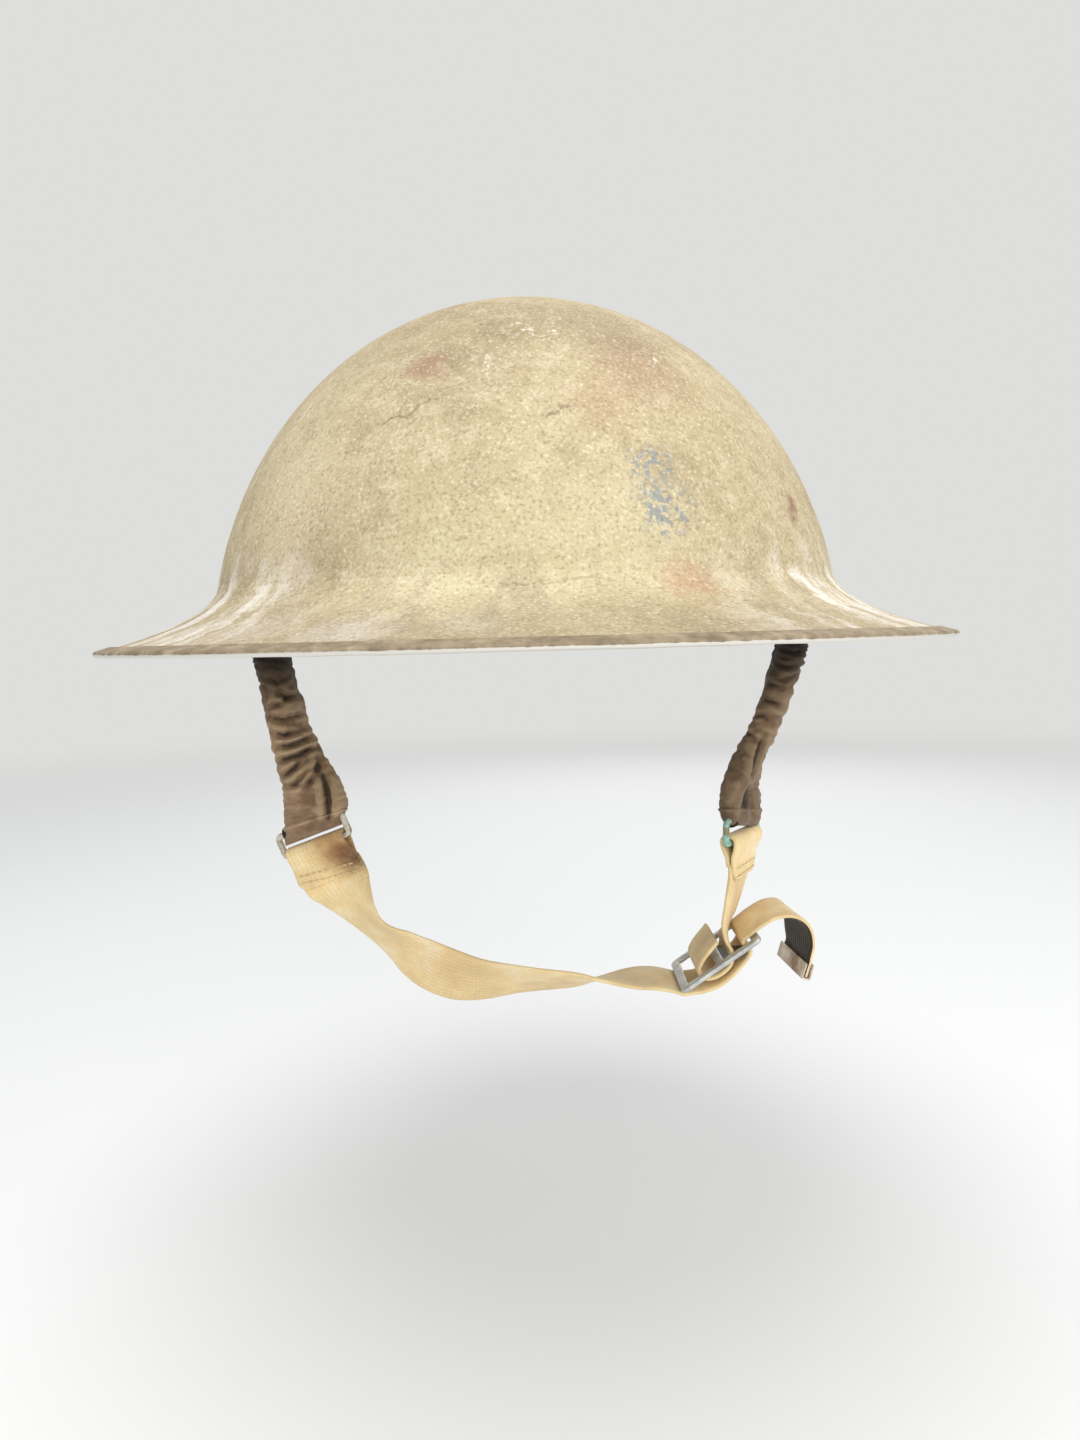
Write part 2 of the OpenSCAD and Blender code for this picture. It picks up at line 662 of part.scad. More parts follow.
// Rectangular loop of round wire in the plane of y and z: inner width, height between bars, wire
module wire_loop(inner_w, high, wire, bend) {
    half = (inner_w + wire) / 2;
    for (up = [-1, 1]) {
        translate([0, 0, up * high / 2])
            rotate([90, 0, 0]) cylinder(d = wire, h = 2 * (half - bend), center = true, $fn = 24);
        for (side = [-1, 1])
            translate([0, side * (half - bend), up * (high / 2 - bend)])
                rotate([90, 0, 90])
                    rotate([0, 0, up > 0 ? (side > 0 ? 0 : 90) : (side > 0 ? 270 : 180)])
                        rotate_extrude(angle = 90, $fn = 48) translate([bend, 0]) circle(d = wire, $fn = 24);
    }
    for (side = [-1, 1])
        translate([0, side * half, 0])
            cylinder(d = wire, h = high - 2 * bend, center = true, $fn = 24);
}

module bail(side) {
    color("dimgray")
    translate([side * eye_x, 0, eye_z - bail_h / 2])
        wire_loop(bail_w, bail_h, bail_wire, bail_bend);
}

module left_bail() {
    bail(-1);
}

module right_bail() {
    bail(1);
}

// Turns a piece drawn with its bar along y and its fall along -z to the given bar and fall
module along(at, bar, fall) {
    side = cross(bar, -fall);
    multmatrix([[side[0], bar[0], -fall[0], at[0]], [side[1], bar[1], -fall[1], at[1]],
        [side[2], bar[2], -fall[2], at[2]], [0, 0, 0, 1]])
        children();
}

module left_ring() {
    color("goldenrod") along(left_ring_at, left_bar, left_fall) wire_loop(ring_w, ring_h, ring_wire, 1.8);
}

module right_ring() {
    color("goldenrod") along(right_ring_at, right_bar, right_fall) wire_loop(ring_w, ring_h, ring_wire, 1.8);
}

// Cloth loop round a bar, sewn to a flat tab that reaches into the sleeve
loop_w = 21;
loop_t = 1.1;
tab_w = 13;
tab_t = 2.2;
module cloth_loop(bar_r, reach) {
    r = bar_r + hinge_gap;
    rotate([90, 0, 0]) {
        linear_extrude(loop_w, center = true)
            difference() {
                circle(r = r + loop_t, $fn = 40);
                circle(r = r, $fn = 40);
            }
        linear_extrude(tab_w, center = true)
            translate([-tab_t / 2, -r - loop_t - reach]) square([tab_t, reach + loop_t / 2]);
    }
}

module upper_loop(side) {
    tab_l = 4;
    color("sienna")
    translate([side * eye_x, 0, bail_bar_z]) cloth_loop(bail_wire / 2, tab_l);
}

module left_upper_loop() {
    upper_loop(-1);
}

module right_upper_loop() {
    upper_loop(1);
}

module lower_loop(ring_at, bar, fall) {
    tab_l = 5;
    color("sienna")
    along(ring_at - ring_h / 2 * fall, bar, -fall) cloth_loop(ring_wire / 2, tab_l);
}

module left_lower_loop() {
    lower_loop(left_ring_at, left_bar, left_fall);
}

module right_lower_loop() {
    lower_loop(right_ring_at, right_bar, right_fall);
}

// Gathered sleeve: a two-lobed tube whose width turns from the bail's bar to the ring's
sleeve_sides = 18;
sleeve_run = 72;
top_swell = 1;
groove_w = 2.4;
// A smooth rise from 0 to 1 between two values
function rise_between(a, b, x) = let (t = min(1, max(0, (x - a) / (b - a)))) t * t * (3 - 2 * t);
// Width direction at a place along the sleeve, square to it except at the ring, where it is the ring's own
function sleeve_across(t, bar, start, f) =
    let (turned = mix([0, start, 0], bar, rise_between(0.1, 0.95, f)))
    unit(mix(square_to(turned, t), bar, rise_between(0.7, 1, f)));
function lobe(theta, a, b, groove) = let (x = a * cos(theta), s = sin(theta))
    [x, b * sign(s) * pow(abs(s), 0.75) * (1 - groove * exp(-pow(x / groove_w, 2)))];
function sleeve_rings(route, bar, start, half, inset, steps, gathered) =
    let (c = spline([for (p = route) in_xz(hung(p))], steps), n = len(c) - 1)
    [for (i = [0 : n])
        let (f = i / n, t = tangent(c, i), w = sleeve_across(t, bar, start, f), b = unit(cross(t, w)),
            a_here = mix(sleeve_a, sleeve_end_a, rise_between(0.55, 0.9, f)) - inset,
            b_here = half + top_swell * (1 - rise_between(0, 0.12, f)) - inset,
            fade = min(1, 12 * f, 12 * (1 - f)))
        [for (k = [0 : sleeve_sides - 1])
            let (theta = 360 * k / sleeve_sides, p = lobe(theta, a_here, b_here, 0.25),
                wave = gathered * gather_depth * fade * sin(360 * f * sleeve_run / gather_pitch + theta),
                puff = wave / max(norm(p), 1))
            c[i] + (1 + puff) * (p[0] * w + p[1] * b)]];

module sleeve(route, bar, start, half) {
    color("sienna")
    tube_solid(sleeve_rings(route, bar, start, half, gather_depth, 5, 1),
        sleeve_rings(route, bar, start, half, gather_depth + sleeve_t, 3, 0));
}

module left_sleeve() {
    sleeve(left_route, left_bar, 1, left_sleeve_b);
}

module right_sleeve() {
    sleeve(right_route, right_bar, 1, right_sleeve_b);
}

// Close-wound coil spring as a plain tube beside its twin in the sleeve
module spring(route, bar, start, place) {
    steps = 3;
    first = 4;
    last = 4;
    sides = 10;
    c = spline([for (p = route) in_xz(hung(p))], steps);
    n = len(c) - 1;
    rings = function (r) [for (i = [first : n - last])
        let (t = tangent(c, i), w = square_to(sleeve_across(t, bar, start, i / n), t), b = cross(t, w),
            at = c[i] + place * (spring_d / 2 + 0.15) * w)
        [for (k = [0 : sides - 1]) at + r * cos(360 * k / sides) * w + r * sin(360 * k / sides) * b]];
    color("silver") tube_solid(rings(spring_d / 2), rings(spring_d / 2 - spring_wire));
}

module left_front_spring() {
    spring(left_route, left_bar, 1, -1);
}

module left_rear_spring() {
    spring(left_route, left_bar, 1, 1);
}

module right_front_spring() {
    spring(right_route, right_bar, 1, -1);
}

module right_rear_spring() {
    spring(right_route, right_bar, 1, 1);
}

// Long web: sewn round the left ring, twisted under the chin, through the slide, and a curling tail
module long_web() {
    at = left_ring_at + ring_h / 2 * left_fall;
    color("wheat")
    webbing(concat(fold(at, left_fall, left_bar, unit([0.98, -0.02, 0.21]), 0),
        [for (s = long_route) [in_xz(hung(s[0])), s[1]]],
        [for (p = long_in_slide) [in_xz(slide_point(p)), [0, -1, 0]]],
        [for (s = tail_route) [in_xz(hung(s[0])), s[1]]]), 2);
}

module short_web() {
    at = right_ring_at + ring_h / 2 * right_fall;
    color("wheat")
    webbing(concat(fold(at, right_fall, right_bar, short_route[0][1], short_loose),
        [for (s = short_route) [in_xz(hung(s[0])), s[1]]],
        [for (p = short_in_slide) [in_xz(slide_point(p)), [0, 1, 0]]]), 2);
}

// Three-bar slide, pressed from sheet, with rounded corners
module slide_buckle() {
    rail = (slide_w - web_w) / 2 - 0.6;
    slot = (slide_l - 3 * slide_bar) / 2;
    corner = 3;
    color("lightslategray")
    translate(slide_at)
        rotate([0, -slide_lean, 0])
            translate([0, 0, -slide_t / 2])
                linear_extrude(slide_t)
                    difference() {
                        union() {
                            square([slide_l - 2 * corner, slide_w], center = true);
                            square([slide_l, slide_w - 2 * corner], center = true);
                            for (x = [-1, 1], y = [-1, 1])
                                translate([x * (slide_l / 2 - corner), y * (slide_w / 2 - corner)])
                                    circle(r = corner, $fn = 32);
                        }
                        for (x = [-1, 1])
                            translate([x * (slide_bar + slot) / 2, 0])
                                square([slot, slide_w - 2 * rail], center = true);
                    }
}

// Crimped metal tip over the last of the tail
module tail_tip() {
    n = len(tail_route) - 1;
    end = in_xz(hung(tail_route[n][0]));
    fall = unit(end - in_xz(hung(tail_route[n - 1][0])));
    outer = web_t + 2 * tip_t + 2 * tip_gap;
    color("silver")
    along(end, square_to(tail_route[n][1], fall), fall)
        difference() {
            translate([-outer / 2, -web_w / 2 - tip_t, -tip_t - tip_gap])
                cube([outer, web_w + 2 * tip_t, tip_l]);
            translate([-web_t / 2 - tip_gap, -web_w, -tip_gap])
                cube([web_t + 2 * tip_gap, 2 * web_w, tip_l + 1]);
        }
}

shell();
rim_strip();
crown_screw();
crown_washer();
crown_spacer();
crown_plate();
crown_nut();
headband_frame();
sweatband();
cross_strap_fore_aft();
cross_strap_sideways();
cross_strap_rivets();
crown_pad();
for (i = [0 : len(BUFFERS) - 1])
    buffer(buffer_angles[i]);
left_lug_bracket();
right_lug_bracket();
left_lug_rivet();
right_lug_rivet();
left_bail();
right_bail();
left_upper_loop();
right_upper_loop();
left_sleeve();
right_sleeve();
left_front_spring();
left_rear_spring();
right_front_spring();
right_rear_spring();
left_lower_loop();
right_lower_loop();
left_ring();
right_ring();
long_web();
short_web();
slide_buckle();
tail_tip();
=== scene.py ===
"""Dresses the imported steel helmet: sand-textured paint, gathered cloth sleeves, webbing, liner and
fittings, on a plain pale stage. Lengths in the code are millimetres unless a name says metres."""

import math

import bpy
from mathutils import Matrix, Vector, noise


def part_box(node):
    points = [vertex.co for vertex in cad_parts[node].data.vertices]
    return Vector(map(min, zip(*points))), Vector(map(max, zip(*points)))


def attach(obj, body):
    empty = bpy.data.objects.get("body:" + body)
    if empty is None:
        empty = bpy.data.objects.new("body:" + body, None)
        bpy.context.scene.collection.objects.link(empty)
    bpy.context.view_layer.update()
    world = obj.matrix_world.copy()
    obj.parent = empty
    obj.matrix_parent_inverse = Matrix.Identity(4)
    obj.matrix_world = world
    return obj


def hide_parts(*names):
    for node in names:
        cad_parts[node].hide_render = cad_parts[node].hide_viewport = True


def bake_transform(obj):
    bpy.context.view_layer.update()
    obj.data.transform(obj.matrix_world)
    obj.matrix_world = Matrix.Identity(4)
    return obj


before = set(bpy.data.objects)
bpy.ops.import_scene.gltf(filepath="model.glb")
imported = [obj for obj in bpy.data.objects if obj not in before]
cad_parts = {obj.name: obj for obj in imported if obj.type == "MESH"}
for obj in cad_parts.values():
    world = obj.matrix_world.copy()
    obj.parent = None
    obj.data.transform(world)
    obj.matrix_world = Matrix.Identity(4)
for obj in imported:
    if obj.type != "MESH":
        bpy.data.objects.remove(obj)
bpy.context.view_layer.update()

bl_info = {
    "name": "Steel helmet dresser",
    "version": (1, 0, 0),
    "blender": (4, 5, 0),
    "location": "3D View > Sidebar > Helmet",
    "description": "Builds the finishes, cloth, webbing and liner of a broad-brimmed steel helmet",
    "category": "Object",
}

MM = 0.001

# Sizes of the solids that the cloth and webbing follow
RIM = Vector((146.0, 155.5))
BRIM_SLOPE = math.radians(16)
SHELL_T = 1.0
STRIP_W = 5.5
STRIP_T = 0.5
WEB_W = 25.4
WEB_T = 1.6
RING_WIRE = 2.4
RING_H = 8.2
SPRING_D = 7.0
SPRING_WIRE = 1.0
SPRING_PITCH = 1.5
# From the sleeve's centre line to a spring's, and from a spring to the cloth's outer face
SPRING_OFF = SPRING_D / 2 + 0.15
SPRING_ROOM = 1.1
CLOTH_T = 0.9
TAPE_W = 19.8
TAPE_T = 1.1
CROSSED_T = 1.2
# Angles between faces: smooth below the first, and an edge to ease above the second
SMOOTH_BELOW = math.radians(50)
EDGE_ABOVE = math.radians(40)


def unit(v):
    return v.normalized()


def square_to(v, axis):
    return (v - v.dot(axis) * axis).normalized()


def mix(a, b, t):
    return a + (b - a) * t


def rise(a, b, x):
    """A smooth rise from 0 at a to 1 at b."""
    t = min(1.0, max(0.0, (x - a) / (b - a)))
    return t * t * (3 - 2 * t)


def spline(points, steps):
    """A smooth curve through every point, with so many steps between two of them."""
    n = len(points) - 1
    out = []
    for i in range(n):
        a, b = points[max(i - 1, 0)], points[i]
        c, d = points[i + 1], points[min(i + 2, n)]
        for k in range(steps):
            t = k / steps
            square, cube = 2 * a - 5 * b + 4 * c - d, 3 * b - a - 3 * c + d
            out.append(0.5 * (2 * b + (c - a) * t + square * t * t + cube * t**3))
    out.append(points[n])
    return out


def tangent(points, i):
    return unit(points[min(i + 1, len(points) - 1)] - points[max(i - 1, 0)])


def in_xz(pairs):
    return [Vector((x, 0, z)) for x, z in pairs]


# The strap's routes, bars and falls, as the solids have them
LEFT_BAR = unit(Vector((0.9, -0.27, 0.35)))
RIGHT_BAR = unit(Vector((0.55, 0.83, 0)))
LEFT_FALL = square_to(Vector((0.36, 0, -0.93)), LEFT_BAR)
RIGHT_FALL = square_to(Vector((-0.03, 0, -1)), RIGHT_BAR)
LEFT_RING = Vector((-81.9, 0, -69.6))
RIGHT_RING = Vector((77.9, 0, -70.3))
SLIDE_AT = Vector((67.2, 0, -118))
SLIDE_LEAN = math.radians(33.8)
FLAP = 14
FLAP_CORNER = 4.0
LAYER = WEB_T / 2 + 0.15
LEFT_ROUTE = [(-98.4, 5), (-96.4, 0.5), (-94.2, -4), (-91.7, -16.8), (-88.8, -30.5), (-85.6, -41.3),
              (-82.4, -50), (-81.0, -57), (-80.8, -61.4), (-81.3, -65.2)]
RIGHT_ROUTE = [(98.8, 5), (97.8, 0), (96.3, -4), (93.8, -12), (88.6, -28), (84.7, -36.8),
               (79.8, -46.6), (77.4, -55), (77.4, -61.5), (77.6, -65.6)]
LONG_ROUTE = [
    (-73.2, -87.4, 0.95, -0.15, 0.29), (-70, -92.8, 0.8, -0.49, 0.35), (-66.2, -98.7, 0.61, -0.72, 0.33),
    (-61.5, -104.5, 0.44, -0.82, 0.36), (-56, -109, 0.31, -0.8, 0.51), (-50, -113, 0.29, -0.68, 0.67),
    (-44.5, -117.2, 0.3, -0.54, 0.78), (-38, -121.3, 0.29, -0.47, 0.83), (-30, -124.6, 0.22, -0.48, 0.85),
    (-20.5, -126.2, 0.15, -0.6, 0.78), (-8, -126.4, 0.07, -0.75, 0.65), (1.5, -126.8, 0.02, -0.82, 0.57),
    (14.5, -127.2, -0.02, -0.88, 0.47), (23, -127.2, -0.03, -0.95, 0.3), (35.5, -127, -0.03, -1, 0.05),
    (44, -127.2, 0, -1, 0), (50, -128.3, 0, -1, 0)]
LONG_IN_SLIDE = [(-17.2, -2.4), (-14.6, -3.7), (-11.2, -5.4), (-5.5, -7), (0.5, -6.8), (6, -5.5), (10.2, -4),
                 (11.8, -2.4), (11.5, -0.7), (11.1, 0.9), (12, 2), (14.5, 2.2), (18.5, 2.5)]
TAIL_ROUTE = [
    (86.3, -102.5, 0, -1, 0), (90, -101.4, 0.02, -1, 0), (93.6, -101.5, 0.05, -1, 0),
    (96.6, -103.4, 0.1, -1, 0), (98.5, -107, 0.17, -1, -0.03), (99.2, -112.2, 0.18, -1, -0.06),
    (98.9, -117.2, 0.1, -1, -0.1), (97.9, -120.4, 0.1, -1, -0.1), (96.9, -123.6, 0.1, -1, -0.1)]
SHORT_ROUTE = [(76.7, -87, 0.45, 0.89, 0), (75.4, -93, 0.42, 0.91, 0), (73.9, -99.4, 0.38, 0.925, 0),
               (72.5, -105, 0.33, 0.94, 0), (71.6, -110, 0.18, 0.98, 0)]
SHORT_IN_SLIDE = [(6, 1.3), (4.9, -0.8), (3, -2.7), (0, -3.7), (-4, -3.7), (-7.2, -2.3), (-8.4, 0.2),
                  (-7.2, 2.7), (-4, 4.5), (0, 5.8), (3.4, 6.8)]
ROCK_ROOM = 0.4


def colour(code):
    """An sRGB hex value as a linear colour."""
    parts = [int(code[i : i + 2], 16) / 255 for i in (1, 3, 5)]
    return [c / 12.92 if c <= 0.04045 else ((c + 0.055) / 1.055) ** 2.4 for c in parts] + [1.0]


TINT = {"subtype": "COLOR", "size": 4, "min": 0, "max": 1}


class HelmetFinish(bpy.types.PropertyGroup):
    """Colours that a user would change."""

    paint: bpy.props.FloatVectorProperty(
        name="Paint", description="Sand-textured paint of the bowl", default=colour("#B3A37F"), **TINT)
    paint_light: bpy.props.FloatVectorProperty(
        name="Faded paint", description="Paint where it has faded", default=colour("#BBAD89"), **TINT)
    paint_dark: bpy.props.FloatVectorProperty(
        name="Grimy paint", description="Paint where it is grimy", default=colour("#968665"), **TINT)
    webbing: bpy.props.FloatVectorProperty(
        name="Webbing", description="Cotton webbing", default=colour("#F0D59E"), **TINT)
    sleeve: bpy.props.FloatVectorProperty(
        name="Sleeve", description="Cloth of the gathered sleeves", default=colour("#8A6F53"), **TINT)


class HelmetSizes(bpy.types.PropertyGroup):
    """Sizes of the grit, cloth and thread."""

    grit: bpy.props.FloatProperty(
        name="Grit", description="Size of the grit in the paint", default=0.001, min=0.0004, max=0.004,
        unit="LENGTH")
    thread: bpy.props.FloatProperty(
        name="Thread", description="Thickness of the sewing thread", default=0.0006, min=0.0002, max=0.001,
        unit="LENGTH")
    weave: bpy.props.FloatProperty(
        name="Weave", description="Spacing of the webbing's ribs", default=0.0013, min=0.0006, max=0.003,
        unit="LENGTH")


# ---------- shapes ----------


def skin(name, tubes, closed=False, fields=None, width=None):
    """A mesh from tubes, each a list of rings of points. Its UV map is in millimetres: round, then along.
    fields are named values for the points."""
    verts, faces, uvs = [], [], []
    for rings in tubes:
        base, n, m = len(verts), len(rings[0]), len(rings)
        centres = [sum(ring, Vector()) / n for ring in rings]
        run = [0.0]
        for j in range(m):
            run.append(run[-1] + (centres[(j + 1) % m] - centres[j]).length)
        ring_width = width or sum((rings[0][i] - rings[0][i - 1]).length for i in range(n))
        for ring in rings:
            verts.extend(p * MM for p in ring)
        for j in range(m if closed else m - 1):
            for i in range(n):
                a, b = base + j * n, base + (j + 1) % m * n
                faces.append((a + i, a + (i + 1) % n, b + (i + 1) % n, b + i))
                u0, u1 = ring_width * i / n, ring_width * (i + 1) / n
                uvs += [(u0, run[j]), (u1, run[j]), (u1, run[j + 1]), (u0, run[j + 1])]
        if not closed:
            faces.append(tuple(base + i for i in reversed(range(n))))
            faces.append(tuple(base + (m - 1) * n + i for i in range(n)))
            uvs += [(ring_width * i / n, 0.0) for i in reversed(range(n))]
            uvs += [(ring_width * i / n, run[m - 1]) for i in range(n)]
    mesh = bpy.data.meshes.new(name)
    mesh.from_pydata(verts, [], faces)
    layer = mesh.uv_layers.new(name="UVMap")
    layer.data.foreach_set("uv", [c for uv in uvs for c in uv])
    for field, values in (fields or {}).items():
        mesh.attributes.new(field, "FLOAT", "POINT").data.foreach_set("value", values)
    obj = add_object(name, mesh)
    edit(obj, (bpy.ops.mesh.normals_make_consistent, {"inside": False}))
    bpy.ops.object.shade_smooth_by_angle(angle=SMOOTH_BELOW)
    return obj


def add_object(name, data):
    obj = bpy.data.objects.new(name, data)
    bpy.context.scene.collection.objects.link(obj)
    return obj


def only(obj):
    """Selects one object and makes it the active one."""
    bpy.ops.object.select_all(action="DESELECT")
    obj.select_set(True)
    bpy.context.view_layer.objects.active = obj


def edit(obj, *steps):
    """Runs edit operators, each with its settings, on the whole of an object's mesh."""
    only(obj)
    bpy.ops.object.mode_set(mode="EDIT")
    bpy.ops.mesh.select_all(action="SELECT")
    for operator, settings in steps:
        operator(**settings)
    bpy.ops.object.mode_set(mode="OBJECT")


def apply_modifier(obj, kind, **settings):
    modifier = obj.modifiers.new(kind.title(), kind)
    for key, value in settings.items():
        setattr(modifier, key, value)
    only(obj)
    bpy.ops.object.modifier_apply(modifier=modifier.name)


def cad_copy(name, node, *steps):
    """A copy of a CAD node with its doubled points joined, and any further edits."""
    obj = add_object(name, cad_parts[node].data.copy())
    only(obj)
    if obj.data.has_custom_normals:
        bpy.ops.mesh.customdata_custom_splitnormals_clear()
    edit(obj, (bpy.ops.mesh.remove_doubles, {"threshold": 1e-6}), *steps)
    return obj


def eased_copy(name, node, width, finish, body, segments=2):
    """Stands for a CAD node with a copy of it whose edges are eased, as pressed or cut edges are."""
    obj = cad_copy(name, node, (bpy.ops.mesh.dissolve_limited, {"angle_limit": math.radians(1)}))
    apply_modifier(obj, "BEVEL", width=width * MM, segments=segments, limit_method="ANGLE",
                   angle_limit=EDGE_ABOVE, use_clamp_overlap=True)
    bpy.ops.object.shade_smooth_by_angle(angle=EDGE_ABOVE)
    dress(obj, finish, body, [node])


# The materials, by the names that make_finishes gives them
FINISHES = {}


def dress(obj, finish, body, nodes=()):
    """Gives a piece its finish, hangs it from a named body or else bakes its place into its mesh, and hides
    the CAD nodes that it stands for.
    """
    obj.data.materials.clear()
    obj.data.materials.append(FINISHES[finish])
    if isinstance(body, str):
        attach(obj, body)
    else:
        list(body)
        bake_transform(obj)
    if nodes:
        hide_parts(*nodes)


def paint_nodes(finish, *nodes):
    """Gives CAD nodes their finish and leaves their shapes alone."""
    for node in nodes:
        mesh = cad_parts[node].data
        mesh.materials.clear()
        mesh.materials.append(FINISHES[finish])


def ellipse_ring(profile, angle, stretch):
    """A profile of r and z, at an angle round the z axis, with its y stretched."""
    return [Vector((r * math.cos(angle), r * stretch * math.sin(angle), z)) for r, z in profile]


# ---------- materials ----------


def add_node(tree, kind, settings=None, links=()):
    """Adds a node. Lower-case settings are the node's own, the others are its sockets' values."""
    node = tree.nodes.new("ShaderNode" + kind)
    for key, value in (settings or {}).items():
        if isinstance(key, str) and key.islower():
            setattr(node, key, value)
        else:
            node.inputs[key].default_value = value
    for key, source in links:
        tree.links.new(source, node.inputs[key])
    return node


def follow(kind, settings, links):
    """Adds a node to the tree that its first link comes from."""
    return add_node(links[0][1].id_data, kind, settings, links)


def cleared(owner):
    """The emptied node tree of a material or world."""
    owner.use_nodes = True
    owner.node_tree.nodes.clear()
    return owner.node_tree


def mixed_output(tree, kind, share, first, second):
    """Mixes two shaders into the output of a tree."""
    both = add_node(tree, "MixShader", {}, [(0, share), (1, first.outputs[0]), (2, second.outputs[0])])
    add_node(tree, kind, {}, [("Surface", both.outputs[0])])


def new_material(name, roughness, metallic=0.0, **sockets):
    """A material with its shader, and the sockets of place and normal in object coordinates."""
    finish = bpy.data.materials.new(name)
    tree = cleared(finish)
    shader = add_node(tree, "BsdfPrincipled", {"Roughness": roughness, "Metallic": metallic, **sockets})
    add_node(tree, "OutputMaterial", {}, [("Surface", shader.outputs["BSDF"])])
    seen = add_node(tree, "TexCoord").outputs
    return finish, seen["Object"], seen["Normal"]


def finished(finish, base, normal, others=None):
    """Feeds the sockets of a material's shader and gives the material back."""
    tree = finish.node_tree
    for socket, source in {"Base Color": base, "Normal": normal, **(others or {})}.items():
        tree.links.new(source, tree.nodes["Principled BSDF"].inputs[socket])
    return finish


def ramp(factor, *stops):
    """A colour that follows a value through stops of place and colour."""
    node = follow("ValToRGB", {}, [("Fac", factor)])
    elements = node.color_ramp.elements
    while len(elements) < len(stops):
        elements.new(0.5)
    for element, (place, tint) in zip(elements, stops):
        element.position, element.color = place, colour(tint) if isinstance(tint, str) else tint
    return node.outputs["Color"]


def noise_at(place, size_mm, detail, roughness=0.5, output="Fac"):
    """Noise with features of this size."""
    settings = {"Scale": 1000.0 / size_mm, "Detail": detail, "Roughness": roughness}
    return follow("TexNoise", settings, [("Vector", place)]).outputs[output]


def maths(operation, *inputs):
    """A sum on numbers and sockets."""
    numbers = {i: v for i, v in enumerate(inputs) if isinstance(v, (int, float))}
    sockets = [(i, v) for i, v in enumerate(inputs) if i not in numbers]
    return follow("Math", {"operation": operation, **numbers}, sockets).outputs[0]


def vector_maths(operation, vector, other, addend=None):
    links = [(0, vector)] if addend is None else [(0, vector), (2, addend)]
    return follow("VectorMath", {"operation": operation, 1: other}, links)


def xyz(vector):
    return follow("SeparateXYZ", {}, [("Vector", vector)]).outputs


def mapped(value, low, high, to_low=0.0, to_high=1.0, kind="LINEAR"):
    """A value carried from one range to another."""
    settings = {"From Min": low, "From Max": high, "To Min": to_low, "To Max": to_high}
    return follow("MapRange", {"interpolation_type": kind, **settings}, [("Value", value)]).outputs[0]


def band(value, low, high, strength=1.0):
    """A smooth mask that rises from 0 at low to its strength at high."""
    return mapped(value, low, high, 0.0, strength, "SMOOTHSTEP")


def blotch(place, centre, reach, strength, soft=0.2):
    """A round mask about a place, full at its middle and gone at its reach."""
    far = vector_maths("DISTANCE", place, [c * MM for c in centre]).outputs["Value"]
    return band(far, reach * MM, reach * MM * soft, strength)


# The colour sockets of a Mix node, by number
FACTOR, FIRST, SECOND, MIXED = 0, 6, 7, 2


def over(base, mask, top):
    """A colour laid over another through a mask. Each is a hex value or a socket."""
    settings, links = {"data_type": "RGBA"}, [(FACTOR, mask)]
    for socket, tint in ((FIRST, base), (SECOND, top)):
        if isinstance(tint, str):
            settings[socket] = colour(tint)
        else:
            links.append((socket, tint))
    return follow("Mix", settings, links).outputs[MIXED]


def product(*masks):
    result = masks[0]
    for mask in masks[1:]:
        result = maths("MULTIPLY", result, mask)
    return result


def ragged_place(place, size_mm, reach_mm):
    """Object coordinates pushed about by noise, so that marks made on them have ragged edges."""
    push = noise_at(place, size_mm, 5.0, 0.6, "Color")
    moved = vector_maths("MULTIPLY_ADD", push, (2 * reach_mm * MM,) * 3, place).outputs[0]
    return vector_maths("SUBTRACT", moved, (reach_mm * MM,) * 3).outputs[0]


def relief(height, strength, depth_mm, under=None):
    """Bumps of this depth, on top of the relief under them."""
    links = [("Height", height)] if under is None else [("Height", height), ("Normal", under)]
    return follow("Bump", {"Strength": strength, "Distance": depth_mm * MM}, links).outputs["Normal"]


def weave(tree, spacing_mm):
    """Threads on the piece's own map, which is in millimetres: how they cross, and the warp alone."""
    place = add_node(tree, "UVMap", {"uv_map": "UVMap"}).outputs["UV"]
    turns = follow("VectorMath", {"operation": "SCALE", "Scale": 2 * math.pi / spacing_mm}, [(0, place)])
    warp, weft = (maths("SINE", part) for part in xyz(turns.outputs[0])[:2])
    return maths("MULTIPLY", warp, weft), warp


# Lays marks over a colour: stains, and painted light and shade
def stains_and_painted_light(base, place, marks, soft):
    for centre, reach, code, strength in marks:
        base = over(base, blotch(place, centre, reach, strength, soft), code)
    return base


def mottled(name, low, high, size_mm, roughness, metallic=0.0, bump_mm=0.05, grain_mm=None):
    """A finish that wanders between two colours, over a fine grain."""
    finish, place, _ = new_material(name, roughness, metallic)
    base = ramp(noise_at(place, size_mm, 6.0, 0.6), (0.3, low), (0.7, high))
    grain = noise_at(place, grain_mm or size_mm / 6, 3.0)
    return finished(finish, base, relief(grain, 0.6, bump_mm))
